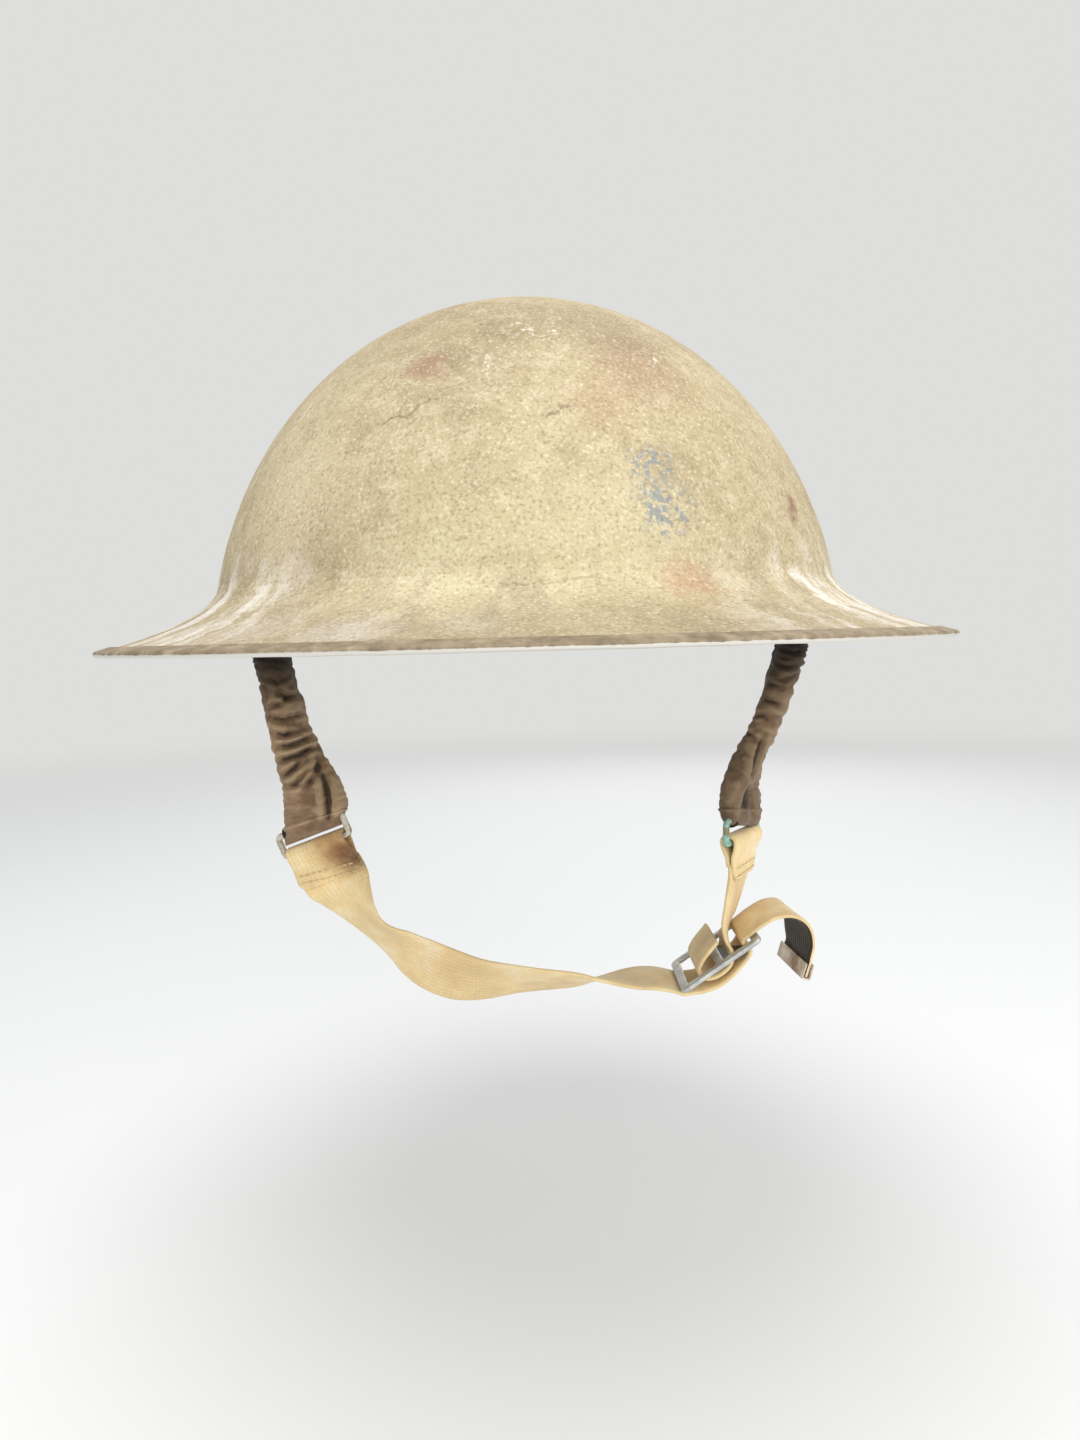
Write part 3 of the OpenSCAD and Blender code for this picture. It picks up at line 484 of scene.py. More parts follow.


# Marks on the bowl: centre, reach, colour, strength. The first are worn places and stains in the paint; the
# pale ones after them are painted highlight.
PAINT_MARKS = [
    ((-26, -81, 79), 10, "#9A6E5C", 0.6),
    ((82, -66, 40), 6, "#85604F", 0.8),
    ((42, -107, 14), 12, "#A5765A", 0.7),
    ((50, -104, 13), 8, "#9C6C54", 0.5),
    ((-55, -93, 36), 18, "#A98A6C", 0.22),
    ((-80, -66, 45), 16, "#A08468", 0.18),
    ((35, -78, 78), 24, "#9C7A62", 0.5),
    ((23, -92, 67), 16, "#A78868", 0.4),
    ((24, -62, 96), 30, "#8A7A60", 0.4),
    ((-30, -60, 93), 34, "#93825F", 0.32),
    ((60, -70, 62), 26, "#A5926F", 0.3),
    # Painted highlight where the front light falls, low on the front and on the left
    ((-8, -113, 26), 42, "#C8BC94", 0.45),
    ((30, -108, 26), 30, "#CBBE98", 0.4),
    ((-26, -113, 12), 26, "#D3C7A4", 0.45),
    ((-68, -84, 38), 34, "#CDBE9C", 0.42),
    # Whitish marks on the brim: painted highlight, with worn paint
    ((-43, -135, 8), 20, "#DDD4CA", 0.65),
    ((-70, -116, 12), 18, "#D9CFC2", 0.55),
    ((-64, -98, 22), 11, "#DDD3C4", 0.55),
    ((-12, -138, 8), 14, "#CFC5B2", 0.4),
]

# Cracks in the paint: centre, reach, slope of the line, strength
PAINT_CRACKS = [
    ((-30, -90, 65), 11, 0.38, 0.55),
    ((11, -97, 63), 7, 0.25, 0.5),
    ((6, -115, 16), 17, 0.05, 0.28),
]

# Clusters of specks in the paint: places and reaches, the noise that shows, strength, colour
PAINT_SPECKS = [
    # Chips through to grey primer, on the right
    ([((36, -99, 49), 10), ((38, -104, 35), 12), ((44, -101, 37), 8)], 0.46, 0.55, 0.85, "#83898A"),
    # Painted glints of the overhead light: pale flecks near the crown
    ([((4, -72, 91), 13), ((-7, -85, 79), 10), ((40, -71, 83), 8), ((-64, -60, 73), 8)],
     0.55, 0.64, 0.55, "#EFE8D6"),
]


def sand_paint(props, sizes):
    """Matt paint with sand mixed in, sprayed on steel: gritty, with no shine, mottled by wear, with painted
    highlight and shade.
    """
    finish, place, normal = new_material("sand_textured_paint", 0.8)
    broad = noise_at(place, 38, 4.0, 0.55)
    base = ramp(broad, (0.28, props.paint_dark), (0.47, props.paint), (0.7, props.paint_light))
    close = noise_at(place, 6, 5.0, 0.7)
    base = over(base, band(close, 0.52, 0.34, 0.36), "#94835F")
    base = over(base, band(close, 0.5, 0.68, 0.5), "#CFC2A4")
    # Stains, faded places and painted highlights: their edges are ragged because noise moves the place they
    # are measured from
    moved = ragged_place(place, 9, 9)
    base = stains_and_painted_light(base, moved, PAINT_MARKS, 0.2)
    # Painted shade: the crown is darker than the sides
    x, y, z = xyz(moved)
    base = over(base, band(z, 0.06, 0.1, 0.16), "#8C7A5E")
    # Hands have browned the top of the brim
    upward = band(xyz(normal)[2], 0.0, 0.2)
    base = over(base, product(band(z, 0.016, 0.004, 0.4), upward), "#8E7C5F")
    # Pale streaks down the turn from bowl to brim, on its upward faces at both sides: chalky wear, and a
    # painted highlight of the overhead light
    turn = maths("MULTIPLY", maths("ARCTAN2", y, x), 0.11)
    drop = maths("MULTIPLY", z, 0.3)
    along = follow("CombineXYZ", {}, [("X", turn), ("Y", drop)]).outputs[0]
    streaks = noise_at(along, 9, 4.0, 0.6)
    sides = band(maths("ABSOLUTE", x), 0.045, 0.085)
    chalk_and_highlight = product(sides, band(z, 0.036, 0.012), mapped(y, 0.02, -0.06, 0.35),
                    band(streaks, 0.44, 0.64, 0.68), upward)
    base = over(base, chalk_and_highlight, "#EEEAE4")
    dulled = product(band(streaks, 0.5, 0.36, 0.5), band(z, 0.03, 0.012))
    base = over(base, dulled, "#9A8B72")
    # Hairlines: the paint has crazed along wandering lines
    craze = maths("SUBTRACT", noise_at(place, 30, 6.0, 0.62), 0.5)
    line = band(maths("ABSOLUTE", craze), 0.008, 0.002, 0.3)
    base = over(base, product(line, band(broad, 0.56, 0.46)), "#84664F")
    # Three longer cracks, which wander about a straight line
    wander = ragged_place(place, 9, 5)
    for centre, reach, slope, strength in PAINT_CRACKS:
        across = Vector((-slope, 0, 1)).normalized()
        level = vector_maths("DOT_PRODUCT", wander, across).outputs["Value"]
        off = maths("SUBTRACT", level, across.dot(Vector(centre)) * MM)
        crack = product(band(maths("ABSOLUTE", off), 0.0006, 0.0002),
                        blotch(place, centre, reach, strength, 0.6))
        base = over(base, crack, "#6A543D")
    specks = noise_at(place, 2.4, 4.0, 0.7)
    for places, low, high, strength, code in PAINT_SPECKS:
        for centre, reach in places:
            shown = product(blotch(moved, centre, reach, 1.0, 0.3),
                            band(specks, low, high, strength))
            base = over(base, shown, code)
    # Grit: dark between the grains and rubbed pale on top of them
    grit = noise_at(place, sizes.grit / MM, 2.0, 0.6)
    base = over(base, band(grit, 0.47, 0.3, 0.45), "#6E6048")
    base = over(base, band(grit, 0.55, 0.72, 0.42), "#E9E0C8")
    # The grit stands up from a faint hammered unevenness that the press left
    bumps = relief(noise_at(place, 45, 1.0), 0.3, 1.2, relief(grit, 0.5, 0.3))
    return finished(finish, base, bumps)


def rim_metal():
    """Thin steel strip with worn paint: brown above, bare bright metal on the turn and below."""
    finish, place, normal = new_material("worn_painted_strip", 0.5)
    chips = noise_at(place, 5, 5.0, 0.7)
    # Paint is left where the strip faces up, and ends raggedly on the turn of the fold
    bare = band(maths("MULTIPLY_ADD", chips, -0.9, xyz(normal)[2]), -0.35, -0.6)
    paint = ramp(chips, (0.3, "#6B5D47"), (0.52, "#8C7C63"), (0.75, "#AC9B80"))
    return finished(finish, over(paint, bare, "#DCD8CF"), relief(chips, 0.4, 0.1), {
        "Metallic": maths("MULTIPLY", bare, 0.7), "Roughness": mapped(bare, 0.0, 1.0, 0.75, 0.32)})


SLEEVE_THREAD = 0.9
TAPE_THREAD = 1.4


def sheen(weight):
    """The soft glow of cloth seen at a slant."""
    return {"Sheen Weight": weight, "Sheen Roughness": 0.5}


def sleeve_cloth(props):
    """Worn brown cotton: matt, with painted shade in the folds and under the brim at the top, and a painted
    highlight on the ridges.
    """
    finish, place, _ = new_material("gathered_brown_cotton", 0.92, **sheen(0.12))
    cloud = noise_at(place, 9, 5.0, 0.65)
    base = ramp(cloud, (0.32, "#6E563E"), (0.5, props.sleeve), (0.7, "#A48A69"))
    fold = add_node(finish.node_tree, "Attribute", {"attribute_name": "fold"}).outputs["Fac"]
    # Painted light from how far each point was pushed out: a painted highlight on the ridges, painted shade
    # in the creases
    base = over(base, band(fold, 0.15, 0.9, 0.5), "#C2A884")
    base = over(base, band(fold, -0.15, -1.3, 0.85), "#1E150D")
    # The right sleeve is darker than the left, most of all at its foot
    x, _, height = xyz(place)
    foot = product(band(x, -0.01, 0.01), band(height, -0.03, -0.06, 0.32))
    base = over(base, foot, "#33251A")
    base = over(base, band(x, -0.01, 0.01, 0.28), "#3A2C1C")
    # Painted shadow of the brim across the top of each sleeve
    base = over(base, band(height, -0.03, -0.001, 0.95), "#150E08")
    # Plain weave at 0.9 mm, twice the real thread so that it shows
    bumps = relief(weave(finish.node_tree, SLEEVE_THREAD)[0], 0.35, 0.2)
    bumps = relief(noise_at(place, 2.5, 4.0), 0.5, 0.5, bumps)
    return finished(finish, base, bumps)


# Stains on the webbing, and painted shade: centre, reach, colour, strength
WEB_MARKS = [
    ((-75, -4, -74), 13, "#B98A4E", 0.75),
    ((-69.5, -5, -75.5), 14, "#7E4E25", 0.95),
    ((-66.5, -5, -77.5), 8, "#4E2F18", 0.85),
    # Painted shade on the middle of the long run, between its twists
    ((-30, -6, -124), 30, "#C4A26C", 0.45),
    ((-60, -8, -103), 9, "#B98F58", 0.35),
    ((96, -6, -117), 9, "#B08A58", 0.5),
    ((72, 0, -108), 10, "#C09E66", 0.4),
    ((58, 0, -112), 10, "#B9935F", 0.4),
]


def webbing_cloth(props, sizes):
    """Close-woven cotton webbing, yellowed by age: ribs along its length, crossed by fine weft."""
    finish, place, normal = new_material("cotton_webbing", 0.85, **sheen(0.15))
    cloud = noise_at(place, 14, 5.0, 0.6)
    base = ramp(cloud, (0.3, "#DDC292"), (0.52, props.webbing), (0.72, "#F7E8C2"))
    base = stains_and_painted_light(base, ragged_place(place, 5, 4), WEB_MARKS, 0.0)
    # Painted shadow on the tail's inner side
    x, _, z = xyz(place)
    inner = product(band(x, 0.088, 0.091), band(z, -0.1, -0.104),
                    band(xyz(normal)[0], -0.2, -0.5))
    base = over(base, inner, "#0B0806")
    cross, warp = weave(finish.node_tree, sizes.weave / MM)
    ribs = maths("MULTIPLY_ADD", warp, 0.7, cross)
    base = over(base, mapped(ribs, -1.7, 0.4, 0.19, 0.0), "#A5865A")
    bumps = relief(noise_at(place, 4, 4.0), 0.35, 0.5, relief(ribs, 0.4, 0.25))
    return finished(finish, base, bumps)


def tarnished_wire():
    """Brass wire gone dull, with a pale crust in patches, which is blue-green verdigris on the right ring."""
    finish, place, _ = new_material("tarnished_brass_wire", 0.45)
    patches = noise_at(place, 6, 5.0, 0.7)
    cover = band(patches, 0.4, 0.55)
    crust = over("#CFCABB", mapped(xyz(place)[0], -0.02, 0.02), "#93C4B8")
    return finished(finish, over("#8D8468", cover, crust), relief(patches, 0.6, 0.15), {
        "Metallic": mapped(cover, 0.0, 1.0, 0.9, 0.1), "Roughness": mapped(cover, 0.0, 1.0, 0.35, 0.8)})


def tape_cloth():
    """Tan cotton tape of the crossed straps: a plain weave, browned in clouds."""
    finish, place, _ = new_material("tan_cotton_tape", 0.9, **sheen(0.2))
    base = ramp(noise_at(place, 18, 5.0), (0.3, "#6F5836"), (0.7, "#96805A"))
    cross, _ = weave(finish.node_tree, TAPE_THREAD)
    base = over(base, mapped(cross, -1.0, 0.5, 0.35, 0.0), "#4A3A22")
    return finished(finish, base, relief(cross, 0.5, 0.2))


def make_finishes(props, sizes):
    """Every finish of the helmet, by the name that the operators use."""
    return {
        "paint": sand_paint(props, sizes),
        "rim": rim_metal(),
        "sleeve": sleeve_cloth(props),
        "web": webbing_cloth(props, sizes),
        "wire": tarnished_wire(),
        "tape": tape_cloth(),
        # Blackened mild steel, brushed by handling
        "dark_steel": mottled("blackened_steel", "#2E2A26", "#5A5349", 5, 0.45, 0.9),
        # Zinc plate gone dull, faintly spangled
        "zinc": mottled("dull_zinc_plate", "#7E7F7B", "#A6A6A0", 3, 0.42, 0.9),
        # Bright drawn spring wire
        "spring": mottled("drawn_spring_wire", "#8A8A88", "#B5B5B2", 4, 0.3, 1.0),
        # Soft black rubber with a bloom
        "rubber": mottled("black_rubber", "#161616", "#2B2A28", 6, 0.7),
        # Sponge-moulded grey rubber, slightly pitted
        "pad": mottled("moulded_grey_rubber", "#2A2A28", "#403E3A", 7, 0.75, bump_mm=0.12, grain_mm=1.2),
        # Vulcanised fibre: hard, smooth red-brown board
        "fibre": mottled("vulcanised_fibre", "#4A2A1A", "#6E4630", 14, 0.5, bump_mm=0.06, grain_mm=1.5),
        # Oilcloth: black varnish on cotton, finely crazed, with a low sheen
        "oilcloth": mottled("black_oilcloth", "#0E0D0C", "#23201D", 9, 0.38, bump_mm=0.12, grain_mm=1.6),
        # Pressed grey metal with rubbed corners
        "slide": mottled("grey_pressed_metal", "#A6A9A8", "#DAD9D2", 5, 0.42, 0.5, bump_mm=0.08),
        # Tin tip, scuffed and browned
        "tip": mottled("scuffed_tin", "#7D5C3E", "#E6DFD0", 9, 0.5, 0.35, bump_mm=0.12),
        # Very dark brown cotton tape of the loops, flattened
        "loop": mottled("brown_cotton_tape", "#1B130C", "#33261A", 6, 0.9, bump_mm=0.15, grain_mm=1.0),
        # Linen sewing thread
        "thread": mottled("linen_thread", "#B79A66", "#E2CFA0", 3, 0.9),
    }


# ---------- pieces ----------


# Stations round the rim, and how far and over what distance the strip wanders
STRIP_STATIONS = 360
STRIP_UNEVEN = 0.35
STRIP_UNEVEN_SIZE = 12


def strip_profile():
    """The folded strip's section, as places along and across the brim: its outer face, then its inner."""
    nose = SHELL_T / 2 + 0.05 + STRIP_T
    middle = -SHELL_T / 2
    inner = nose - STRIP_T

    def turned(radius, turn):
        return nose + radius * math.cos(turn), middle + radius * math.sin(turn)

    points = [(mix(STRIP_W, nose, k / 6), middle + nose) for k in range(7)]
    points += [turned(nose, math.pi / 2 + math.pi * k / 12) for k in range(1, 12)]
    points += [(mix(nose, STRIP_W, k / 6), middle - nose) for k in range(7)]
    points += [(mix(STRIP_W, nose, k / 3) - 0.05, middle - inner) for k in range(4)]
    points += [turned(inner, 3 * math.pi / 2 - math.pi * k / 6) for k in range(1, 6)]
    points += [(mix(nose, STRIP_W - 0.05, k / 3), middle + inner) for k in range(4)]
    return points


class HELMET_OT_shell(bpy.types.Operator):
    """Paints the bowl and makes the folded rim strip"""

    bl_idname = "helmet.shell"
    bl_label = "Shell and rim strip"

    def execute(self, context):
        paint_nodes("paint", "shell")
        tip = Vector((RIM[0], SHELL_T / 2 * math.cos(BRIM_SLOPE)))
        inward = Vector((-math.cos(BRIM_SLOPE), math.sin(BRIM_SLOPE)))
        upward = Vector((math.sin(BRIM_SLOPE), math.cos(BRIM_SLOPE)))
        rows = [(tip + u * inward + w * upward) * MM for u, w in strip_profile()]
        bpy.ops.object.select_all(action="DESELECT")
        bpy.ops.mesh.primitive_circle_add(vertices=STRIP_STATIONS, radius=rows[0].x, fill_type="NOTHING")
        strip = bpy.context.object
        strip.name = strip.data.name = "folded_rim_strip"
        bpy.ops.object.mode_set(mode="EDIT")
        bpy.ops.mesh.select_all(action="SELECT")
        bpy.ops.transform.translate(value=(0, 0, rows[0].y))
        for row, following in zip(rows, rows[1:]):
            grow = following.x / row.x
            bpy.ops.mesh.extrude_edges_move(TRANSFORM_OT_translate={"value": (0, 0, following.y - row.y)})
            bpy.ops.transform.resize(value=(grow, grow, 1), center_override=(0, 0, 0))
        bpy.ops.mesh.select_non_manifold()
        bpy.ops.mesh.bridge_edge_loops()
        bpy.ops.mesh.select_all(action="SELECT")
        bpy.ops.transform.resize(value=(1, RIM.y / RIM.x, 1), center_override=(0, 0, 0))
        bpy.ops.mesh.normals_make_consistent(inside=False)
        bpy.ops.object.mode_set(mode="OBJECT")
        # The strip was pressed on by hand, so it runs a little unevenly
        uneven = bpy.data.textures.new("uneven_press", "CLOUDS")
        uneven.noise_scale = STRIP_UNEVEN_SIZE * MM
        apply_modifier(strip, "DISPLACE", texture=uneven, strength=STRIP_UNEVEN * MM, mid_level=0.5)
        bpy.ops.object.shade_smooth_by_angle(angle=SMOOTH_BELOW)
        dress(strip, "rim", "helmet", ["rim_strip"])
        return {"FINISHED"}


class HELMET_OT_fittings(bpy.types.Operator):
    """Gives the crown fixing, lugs, rivets and bails their finishes and eased edges"""

    bl_idname = "helmet.fittings"
    bl_label = "Crown fixing, lugs and bails"

    def execute(self, context):
        paint_nodes("paint", "left_lug_rivet", "right_lug_rivet")
        paint_nodes("dark_steel", "crown_screw", "crown_washer", "left_bail", "right_bail")
        paint_nodes("zinc", "crown_plate", "crown_nut", "cross_strap_rivets")
        paint_nodes("rubber", "crown_spacer")
        for side in ("left", "right"):
            eased_copy(f"{side}_folded_lug", f"{side}_lug_bracket", 0.25,
                       "dark_steel", "helmet")
        return {"FINISHED"}


def arch(half_span, top_z):
    """Centre line of a crossed strap: upright legs, quarter ellipses and a level top, in x and z."""
    level, base_z, foot_z, steps = 9.0, 30.0, 20.0, 24
    side = [(half_span, foot_z), (half_span, (foot_z + base_z) / 2)]
    for k in range(steps + 1):
        t = math.pi / 2 * k / steps
        side.append((mix(level, half_span, math.cos(t)), mix(base_z, top_z, math.sin(t))))
    return in_xz(side + [(-x, z) for x, z in reversed(side)])


def tape_section(half_w, half_t, faces=8):
    """A flat tape's section with round edges, as places across and through it."""
    flat = half_w - half_t
    points = []
    for sign in (1, -1):
        for k in range(faces + 1):
            points.append((-sign * flat + sign * 2 * flat * k / faces, -sign * half_t))
        for k in range(1, 4):
            turn = -math.pi / 2 + math.pi * k / 4
            points.append((sign * (flat + half_t * math.cos(turn)), sign * half_t * math.sin(turn)))
    return points


def tape_rings(centres, widths, half_w, half_t, corner=0.0):
    """Rings of a flat tape, whose first end has round corners of this radius."""
    section = tape_section(half_w, half_t)
    rings = []
    run = 0.0
    for i, c in enumerate(centres):
        run += (c - centres[max(i - 1, 0)]).length
        t = tangent(centres, i)
        a = square_to(widths[i], t)
        b = t.cross(a)
        cut = corner * (1 - math.sqrt(1 - (1 - run / corner) ** 2)) if run < corner else 0.0
        rings.append([c + p * (1 - cut / half_w) * a + q * b for p, q in section])
    return rings


BAND_STATIONS = 220
BAND_STITCHES = 190
# Share of the way from one stitch to the next that half a stitch takes, and its thread's radii
HALF_STITCH = 0.285
STITCH_RADII = [0.16, 0.32, 0.16]
# How far the oilcloth puffs in, and how fine the moulded pad is
PUFF = 0.35
PAD_GRAIN = 1.1


class HELMET_OT_liner(bpy.types.Operator):
    """Makes the oilcloth sweatband, crossed straps, crown pad and buffers, and finishes the frame"""

    bl_idname = "helmet.liner"
    bl_label = "Liner"

    def execute(self, context):
        paint_nodes("fibre", "headband_frame")
        self.sweatband()
        self.crossed_straps()
        self.crown_pad()
        for side in ("front_left", "left_front", "left_rear", "rear_left",
                     "rear_right", "right_rear", "right_front", "front_right"):
            eased_copy(f"{side}_rubber_block", f"{side}_buffer", 0.5, "rubber", "helmet")
        return {"FINISHED"}

    def sweatband(self):
        low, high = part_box("sweatband")
        foot_r, foot_z, top_z = high.x / MM - 0.2, low.z / MM, high.z / MM
        stretch = high.y / high.x
        outer, turn_z, lean, thick = 81.0, 30.0, 2.6, 2.0
        bend_z, middle_z, lip_z = foot_z + thick + 4, (turn_z + top_z) / 2, top_z - 0.8
        inner = outer - thick
        profile = [(foot_r, foot_z + 0.2), (foot_r, foot_z + thick - 0.2),
                   (outer - 0.1, foot_z + thick + 0.05), (outer, bend_z), (outer, turn_z),
                   (outer - lean / 2, middle_z), (outer - lean, lip_z),
                   (outer - lean - thick / 2, top_z), (outer - lean - thick, lip_z),
                   (outer - lean / 2 - thick, middle_z), (inner, turn_z), (inner, bend_z),
                   (inner, foot_z + 1.0), (inner + 0.9, foot_z + 0.1)]
        # The oilcloth puffs in toward the head, and its lip rises and falls with the puffs
        lip = (6, 7, 8)
        rings = []
        for j in range(BAND_STATIONS):
            angle = 2 * math.pi * j / BAND_STATIONS
            puff = PUFF * noise.noise(Vector((math.cos(angle) * 7, math.sin(angle) * 7, 0.3)))
            ring = [(r - (max(0, puff) if k >= lip[1] else 0), z + (0.3 * puff if k in lip else 0))
                    for k, (r, z) in enumerate(profile)]
            rings.append(ellipse_ring(ring, angle, stretch))
        oilcloth = skin("oilcloth_sweatband", [rings], closed=True)
        dress(oilcloth, "oilcloth", "helmet", ["sweatband"])
        # Saddle stitches along the foot and the top of the band
        tubes = []
        for z, r in ((foot_z + 3.4, inner - 0.25), (top_z - 3.0, outer - lean * 0.9 - thick - 0.2)):
            for j in range(BAND_STITCHES):
                turns = [2 * math.pi * (j + 0.5 + part) / BAND_STITCHES
                         for part in (-HALF_STITCH, 0, HALF_STITCH)]
                points = [Vector((r * math.cos(t), r * stretch * math.sin(t), z)) for t in turns]
                tubes.append(round_tube(points, STITCH_RADII, 5))
        seams = skin("sweatband_stitches", tubes)
        dress(seams, "thread", "helmet")

    def crossed_straps(self):
        for way, axis in (("sideways", 0), ("fore_aft", 1)):
            node = f"cross_strap_{way}"
            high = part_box(node)[1]
            half, top = high[axis] / MM - CROSSED_T / 2, high.z / MM - CROSSED_T / 2
            line = spline(arch(half, top), 2)
            if axis == 1:
                line = [Vector((0, p.x, p.z)) for p in line]
            widths = [Vector((axis, 1 - axis, 0))] * len(line)
            strap = skin(f"crossed_strap_{way}", [tape_rings(line, widths, TAPE_W / 2, TAPE_T / 2)])
            dress(strap, "tape", "helmet", [node])

    def crown_pad(self):
        pad = cad_copy("moulded_crown_pad", "crown_pad")
        apply_modifier(pad, "REMESH", mode="VOXEL", voxel_size=PAD_GRAIN * MM)
        apply_modifier(pad, "SMOOTH", factor=0.5, iterations=5)
        bpy.ops.object.shade_smooth()
        dress(pad, "pad", "helmet", ["crown_pad"])


def round_tube(points, radii, sides):
    """Rings of a round tube along points, with a radius at each."""
    rings = []
    for i, p in enumerate(points):
        t = tangent(points, i)
        a = square_to(Vector((0.3, 0.2, 1)), t)
        b = t.cross(a)
        turns = [2 * math.pi * k / sides for k in range(sides)]
        rings.append([p + radii[i] * (math.cos(s) * a + math.sin(s) * b) for s in turns])
    return rings


def sleeve_across(t, bar, f):
    """The direction of a sleeve's width: fore and aft at the bail, turning to the ring's bar."""
    turned = mix(Vector((0, 1, 0)), bar, rise(0.25 if bar.x > 0.7 else 0.1, 0.95, f))
    return unit(mix(square_to(turned, t), bar, rise(0.7, 1, f)))


# Creases on the front of each sleeve: points of x and z, width, depth. A negative depth raises a ridge.
LEFT_CREASES = [
    ([(-92.6, -5.5), (-88.6, -6.8)], 0.8, 0.9),
    ([(-95.0, -10.5), (-90.6, -11.6), (-87.4, -9.8)], 0.9, 1.1),
    ([(-90.6, -15.6), (-87.6, -17.4), (-85.0, -16.0)], 1.0, 1.8),
    ([(-94.2, -20.8), (-89.6, -19.2), (-87.2, -17.6)], 0.9, 1.3),
    ([(-94.3, -24.1), (-88.6, -25.1), (-81.3, -22.6)], 1.0, 1.5),
    ([(-86.9, -26.7), (-83.9, -27.4), (-80.3, -28.4)], 0.9, 1.2),
    ([(-94.0, -29.6), (-88.9, -30.9), (-84.6, -29.4)], 0.9, 1.4),
    ([(-92.1, -34.8), (-87.2, -34.6), (-81.7, -32.3), (-79.4, -30.5)], 0.9, 1.5),
    ([(-91.0, -39.9), (-85.0, -38.5), (-81.9, -36.9), (-77.6, -36.3)], 1.0, 2.0),
    ([(-90.0, -45.9), (-85.8, -42.8), (-83.4, -39.6)], 1.0, 1.8),
    ([(-89.4, -50.2), (-86.1, -49.3), (-83.6, -46.3)], 0.9, 1.3),
    ([(-83.2, -51.2), (-80.5, -47.6), (-78.6, -44.6), (-78.1, -39.2)], 1.0, 1.4),
    ([(-78.4, -42.9), (-75.9, -48.9), (-74.8, -56.3), (-74.9, -63.8)], 1.3, 2.0),
    ([(-78.6, -47.0), (-77.4, -53.0), (-77.2, -62.0)], 1.3, -0.6),
    ([(-73.4, -47.5), (-71.8, -54.0), (-71.8, -61.0)], 1.5, -0.5),
    ([(-90.8, -32.4), (-86.0, -32.5), (-81.0, -30.9)], 1.2, -0.5),
    ([(-88.0, -55.5), (-84.0, -54.0), (-80.5, -55.5)], 1.6, 0.5),
    ([(-88.5, -61.5), (-83.0, -60.5), (-78.5, -62.0)], 1.4, 0.5),
]
# Places in x and z where the cloth puffs out, how wide and how far
LEFT_PUFFS = [((-82.6, -19.4), 4.2, 1.5), ((-80.2, -33.4), 3.6, 0.8), ((-72.0, -55), 6, 0.8)]
RIGHT_CREASES = [
    ([(92.6, -4.6), (95.2, -5.8), (98.6, -5.0)], 0.8, 1.0),
    ([(89.6, -9.4), (92.6, -10.9), (96.9, -9.9)], 0.8, 1.2),
    ([(90.9, -15.3), (94.3, -14.4), (97.2, -13.2)], 0.8, 1.2),
    ([(85.9, -15.4), (88.3, -17.2), (93.2, -19.3)], 0.8, 1.2),
    ([(85.2, -22.0), (88.2, -23.3), (91.8, -25.9)], 0.8, 1.3),
    ([(80.4, -29.1), (84.0, -28.0), (87.6, -31.3)], 0.8, 1.2),
    ([(77.3, -33.9), (80.3, -35.2), (82.4, -38.2)], 0.8, 1.1),
    ([(74.6, -43.1), (77.5, -41.7), (80.1, -43.3)], 0.8, 1.0),
    ([(73.2, -50.6), (75.6, -49.4), (78.0, -50.6)], 0.9, 0.7),
    ([(84.3, -35.5), (82.6, -41.3), (81.1, -46.8), (80.4, -51.6)], 1.0, 2.0),
    ([(79.2, -38.4), (78.4, -45.0), (78.6, -51.0)], 1.2, -0.5),
    ([(79.6, -51.8), (76.6, -55.8), (74.7, -60.1), (73.6, -65.4)], 1.0, -1.0),
    ([(79.9, -51.8), (81.4, -56.5), (82.6, -60.9), (83.0, -65.0)], 1.0, -0.9),
    ([(79.2, -55.6), (78.6, -58.6), (78.3, -62.4)], 2.6, 2.4),
    ([(78.8, -57.0), (78.4, -61.4)], 0.9, 1.0),
]
RIGHT_PUFFS = [((99.2, -8.0), 3, 1.0), ((96.4, -13.8), 2.6, 0.8), ((94.0, -19.2), 3, 0.8),
               ((91.8, -26.4), 3.4, 0.9), ((88.4, -36.2), 3, 0.9), ((83.8, -49.6), 3, 0.9)]
SLEEVES = (
    ("left", LEFT_ROUTE, LEFT_BAR, (9.2, 12.7, 6.0, 5.6, 0.0), LEFT_CREASES, LEFT_PUFFS, 3.1),
    ("right", RIGHT_ROUTE, RIGHT_BAR, (9.2, 12.6, 4.9, 5.2, 0.18), RIGHT_CREASES, RIGHT_PUFFS, 8.7),
)
# The rings past the bar: how far on, and what is left of the thickness
CLOSING = ((1.2, 1), (2.3, 0.86), (3.2, 0.7), (3.9, 0.5), (4.3, 0.22))
# Points round a sleeve, and steps between two points of its route
SLEEVE_SIDES = 96
SLEEVE_STEPS = 15
# Power that rounds the section: 1 is an ellipse, and less is squarer
SQUARENESS = 0.82
# Along a whole sleeve: its gathers, and the turning of its fine ripples in radians
GATHERS = 14
RIPPLES = 150
# A sleeve's length, by which the hem is told from the foot
HEM_RUN = 72
# Shares of a sleeve's length: where its cloth keeps clear of the springs, and where they lie
CLEARED = (0.12, 0.86)
COILED = (0.17, 0.83)
# Points on one turn of a coil
COIL_SIDES = 12
# Rings at the closed foot that have no inner face
FOOT_RINGS = 4
# Heights of the cut between a sleeve's two lengths, and of the springs' stretch
SLEEVE_SPLIT = -12
STRETCH = (-14, -60)


